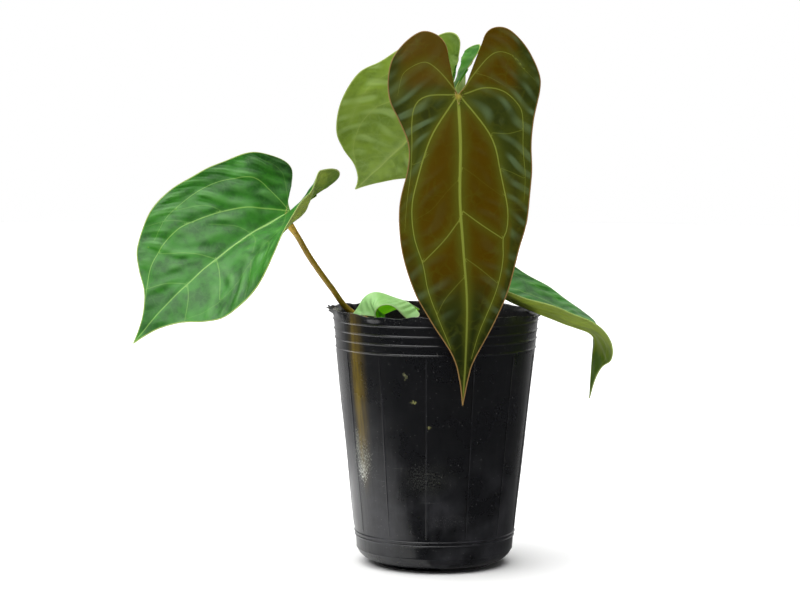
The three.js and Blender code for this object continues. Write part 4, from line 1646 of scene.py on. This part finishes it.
@dataclass
class Studio:
    """White paper floor, one large soft light overhead and the photograph's viewpoint.

    above, behind and ahead are the strengths of the light from those sides, and the fields ending
    in _rise the slopes over which they set in; lean moves the light overhead a little to the left.
    The eye is in millimetres; the lamp, its aim and the sheets are in metres.
    """

    eye: Place = (-22.5, -1500.0, 294.0)
    pitch: float = 4.90
    roll: float = 0.30
    lens: float = 108.0
    sensor: float = 36.0
    above: float = 3.05
    behind: float = 0.8
    ahead: float = 0.08
    above_rise: Pair = (0.6, 0.84)
    behind_rise: Pair = (0.42, 0.72)
    level_rise: Pair = (-0.45, -0.05)
    lean: float = -0.22
    lamp_at: Place = (-0.45, -0.55, 1.75)
    lamp_side: float = 1.7
    lamp_watts: float = 12.0
    aim: Place = (0.0, 0.0, 0.18)
    paper_sides: int = 64

    def camera(self) -> None:
        """Camera that looks along +Y, pitched down and turned a little, on a 36 mm sensor."""
        data = bpy.data.cameras.new("viewpoint")
        data.lens = self.lens
        data.sensor_width = self.sensor
        data.clip_start, data.clip_end = 0.01, 50.0
        piece = placed("viewpoint", data)
        look = Matrix.Rotation(math.radians(90 - self.pitch), 4, "X")
        turn = Matrix.Rotation(math.radians(self.roll), 4, "Z")
        piece.matrix_world = Matrix.Translation(Vector(self.eye) * MM) @ look @ turn
        bpy.context.scene.camera = piece

    def paper(self, name: str, centre: Pair, radius: float, height: float) -> Piece:
        """Lays a round sheet of matt white paper.

        Args:
            name: The sheet's name.
            centre: Its middle in metres.
            radius: Its radius in metres.
            height: Its height above the floor in metres.

        Returns:
            The sheet.
        """
        count = self.paper_sides
        angle = even_angles(count)
        rim = np.stack([*on_circle(radius, angle), 0 * angle], axis=-1)
        points = np.concatenate([[[0, 0, 0]], rim]) + (*centre, height)
        faces = [(0, 1 + k, 1 + (k + 1) % count) for k in range(count)]
        mesh = bpy.data.meshes.new(name)
        mesh.from_pydata(points.tolist(), [], faces)
        mesh.materials.append(PaperFinish(name).build())
        sheet = placed(name, mesh)
        return sheet

    def light(self) -> None:
        """A square soft light, aimed at the middle of the plant."""
        data = bpy.data.lights.new("softbox_top", "AREA")
        data.shape = "SQUARE"
        data.size = self.lamp_side
        data.energy = self.lamp_watts
        lamp = placed("softbox_top", data)
        lamp.location = self.lamp_at
        way = Vector(self.aim) - Vector(self.lamp_at)
        lamp.rotation_euler = way.to_track_quat("-Z", "Y").to_euler()
        lamp.visible_camera = False

    def surroundings(self) -> None:
        """White all round to the eye; as light it is bright behind and above, dim in front."""
        world = bpy.data.worlds.new("studio")
        world.use_nodes = True
        tree = world.node_tree
        tree.nodes.clear()
        facing = add(tree, "ShaderNodeTexCoord").outputs["Generated"]
        way = add(tree, "ShaderNodeSeparateXYZ", {0: facing}).outputs
        leaning = {0: way["X"], 1: self.lean, 2: way["Z"]}
        lean = add(tree, "ShaderNodeMath", leaning, operation="MULTIPLY_ADD").outputs[0]
        above = product(tree, (lean, self.above_rise, (0.0, self.above)))
        back = (way["Y"], self.behind_rise, (self.ahead, self.behind))
        light = product(tree, back, (lean, self.level_rise))
        for other in (above, self.ahead):
            both = {0: light, 1: other}
            light = add(tree, "ShaderNodeMath", both, operation="MAXIMUM").outputs[0]
        seen = add(tree, "ShaderNodeLightPath").outputs["Is Camera Ray"]
        shown = add(tree, "ShaderNodeMix", {0: seen, 2: light, 3: 1.0}, data_type="FLOAT")
        white = {"Color": "#ffffff", "Strength": shown.outputs[0]}
        glow = add(tree, "ShaderNodeBackground", white)
        add(tree, "ShaderNodeOutputWorld", {"Surface": glow.outputs[0]})
        bpy.context.scene.world = world

    def build(self) -> None:
        """Sets up the camera, the floor and the lights."""
        self.camera()
        # The whole floor mirrors in nothing; only the sheet next to the pot does.
        floor = self.paper("paper_floor", centre=(0.0, 0.0), radius=4.0, height=0.0)
        floor.visible_glossy = False
        near = self.paper("paper_near", centre=(-0.16, 0.06), radius=0.19, height=0.0002)
        near.visible_camera = near.visible_diffuse = near.visible_shadow = False
        self.surroundings()
        self.light()
        bpy.context.scene.view_settings.view_transform = "Standard"


# On the green blades the flush colour is painted shade, darkening the lobes and the hanging end.
GREEN_UPPER = BladeFinish(
    "green_leaf_upper", flesh="#317c18", flesh_dark="#1d5a0e", flush_and_shade="#0c3a04", vein="#9ccc62",
    halo="#4a9030", edge="#a8bc62",
    hub="#9cc050", roughness=0.38, flecks=0.05, vein_share=0.7, halo_share=0.35, gloss=0.6,
    gloss_tint="#deeedb", bands=0.5,
)
BACK_UPPER = replace(
    GREEN_UPPER, name="back_leaf_upper", flesh="#4c8c22", flesh_dark="#3c7c1c", flush_and_shade="#2c6c12",
    halo="#8cb860", gloss=0.05, roughness=0.45, band="#8cb860",
)
GREEN_UNDER = BladeFinish(
    "green_leaf_under", flesh="#93a63a", flesh_dark="#869a34", flush_and_shade="#56781a", vein="#a6b854",
    halo="#9aac44", edge="#b4c070",
    hub="#a4a044", roughness=0.45, through=0.25, gloss=0.4, band="#9aac44",
)
BACK_UNDER = replace(
    GREEN_UNDER, name="back_leaf_under", flesh="#84a030", flesh_dark="#728f26", halo="#a8c062",
    bands=0.6, band="#a8c46c",
)
BRONZE_UPPER = BladeFinish(
    "new_leaf_upper", flesh="#30370f", flesh_dark="#262f0e", flush_and_shade="#473501", vein="#8d983f",
    halo="#4f5516", edge="#8f7044",
    hub="#b09c44", roughness=0.36, through=0.12, net=0.22, net_mm=7.0, vein_share=0.65,
    halo_share=0.75, patches_mm=22.0, gloss=0.1, gloss_tint="#d8cfa0", tip_shade_share=0.9,
    band="#5f7452", bands=0.55,
)
BRONZE_UNDER = BladeFinish(
    "new_leaf_under", flesh="#8a7434", flesh_dark="#7a6a30", flush_and_shade="#96683a", vein="#b4a45a",
    halo="#98803c", edge="#b0744a",
    roughness=0.5, through=0.2, gloss=0.4, band="#98803c",
)
# The low leaf's upper face: a pale green that is painted sheen.
PAINTED_SHEEN_UPPER = BladeFinish(
    "painted_sheen_leaf_upper", flesh="#b8f096", flesh_dark="#9ce07c", flush_and_shade="#b8f09c", vein="#ccf4b0",
    halo="#bcec9c", edge="#dcf0b8",
    hub="#b8d060", roughness=0.36, through=0.35, net=0.12, net_mm=3.2, band="#bcec9c",
)
PALE_UNDER = BladeFinish(
    "pale_leaf_under", flesh="#bcf034", flesh_dark="#aae42c", flush_and_shade="#bef040", vein="#ccee60",
    halo="#bce84c", edge="#d4e68c",
    roughness=0.45, through=0.85, net=0.12, net_mm=3.2, band="#bce84c",
)
BARK = CrumbFinish("composted_bark", dark="#2c1e14", mid="#5c4230", light="#a08060")
PERLITE = CrumbFinish(
    "perlite_grain", dark="#b9b4a6", mid="#dad6ca", light="#efede6", grain_mm=0.8,
    roughness=0.85, depth_mm=0.15,
)
ROOT_BARK = CrumbFinish(
    "root_bark", dark="#3f3018", mid="#6c5a34", light="#8d8a48", grain_mm=1.1,
    roughness=0.75, depth_mm=0.2,
)


def plant() -> list[Petiole]:
    """The five leaves with their petioles, each blade bent as it hangs on the plant.

    Returns:
        The petioles, each with its blade.
    """
    front = NewBlade(
        "front", at=(11.9, -46, 293.7), heading=270, dive=72, roll=0, droop=(16, 0.8), rise=20,
        upper=BRONZE_UPPER, under=BRONZE_UNDER, slot="new_leaf", veins=FRONT,
        outlines=(NEW_LEFT, NEW_RIGHT), fold=(-6, -4), curl=(-25, -20),
        sway=(0, 1.5, 1.2, 3.3, 5.6, 5.1, 3.4), ruffle=((0.5, 0.4), 7, 0.1),
        margin_steps=370, across_steps=62,
    )
    left = Blade(
        "left", at=(-90.6, -12, 220.6), heading=227.4, dive=15.8, roll=-31.5, droop=(46.6, 1),
        rise=60, upper=GREEN_UPPER, under=GREEN_UNDER,
        length=1.05, fold=(17.2, 17.2), fold_tip=(-16.5, -21), fold_base=(8.5, 44), curl=(0, 44),
        tuck=(0, 150), base_span=0.7, ruffle=((0.9, 0.7), 4, 0.2), margin_steps=320,
        across_steps=68,
    )
    back = Blade(
        "back", at=(11.3, 33.4, 295.3), heading=133.6, dive=36.3, roll=31.8, droop=(-5, 1),
        rise=52.6, upper=BACK_UPPER, under=BACK_UNDER,
        veins=QUIET, width=0.98, length=0.89, fold=(79.8, 65.4), fold_tip=(-93.6, -93.6),
        ruffle=((0.8, 0.6), 4, 0.3),
    )
    right = Blade(
        "right", at=(19, -8, 179.1), heading=-9.5, dive=25.8, roll=14.5, droop=(-10.9, 1),
        rise=15, upper=GREEN_UPPER, under=GREEN_UNDER,
        veins=QUIET, bend=(80.5, 0.62, 0.12), width=0.78, length=0.98, fold=(23.3, 17),
        fold_tip=(15.7, -38.9), ruffle=((0.6, 0.5), 4, 0.4),
    )
    low = Blade(
        "low", at=(-17, -6, 164.2), heading=180, dive=-19, roll=0, droop=(0, 1), rise=-60,
        upper=PAINTED_SHEEN_UPPER, under=PALE_UNDER, slot="pale_leaf",
        bend=(78, 0.3, 0.4), width=0.46, length=0.385, fold=(-56, -30), curl=(0, -40),
        fold_base=(40, 20), ruffle=((0, 30), 1.25, 0.41), quilt=0.55, margin_steps=150,
        across_steps=36,
    )
    paths = {
        front: ((0, -1, 143), (3, -4, 165), (7, -15, 215), (10.5, -26, 265), (11.7, -36, 287)),
        left: (
            (-7, 8, 143), (-30, 17, 146.5), (-53.6, 19, 156.3), (-66.2, 12, 172.4),
            (-78.5, 2, 190.7), (-86.2, -4, 204.5),
        ),
        back: ((-1.5, 9.5, 143), (-0.8, 8.2, 168), (0.6, 8.6, 195), (4, 14, 235), (6.5, 20.5, 268)),
        right: ((4, 4, 143), (8, 1, 153), (13.5, -3.5, 164)),
        low: ((-7.5, 0.5, 143), (-11, -2, 150), (-14.8, -5, 157)),
    }
    return [Petiole(blade, path) for blade, path in paths.items()]


def main() -> None:
    """Builds the studio, the pot with its filling, and the plant."""
    logging.basicConfig(level=logging.INFO, format="%(name)s: %(message)s")
    Studio().build()
    pot = Pot()
    pot.build(PotFinish().build())
    PottingMix().build(pot, BARK.build(), PERLITE.build())
    Crown().build(ROOT_BARK.build())
    stalk_skin = StemFinish().build()
    for petiole in plant():
        petiole.blade.build()
        petiole.build(stalk_skin)


if __name__ == "__main__":
    main()
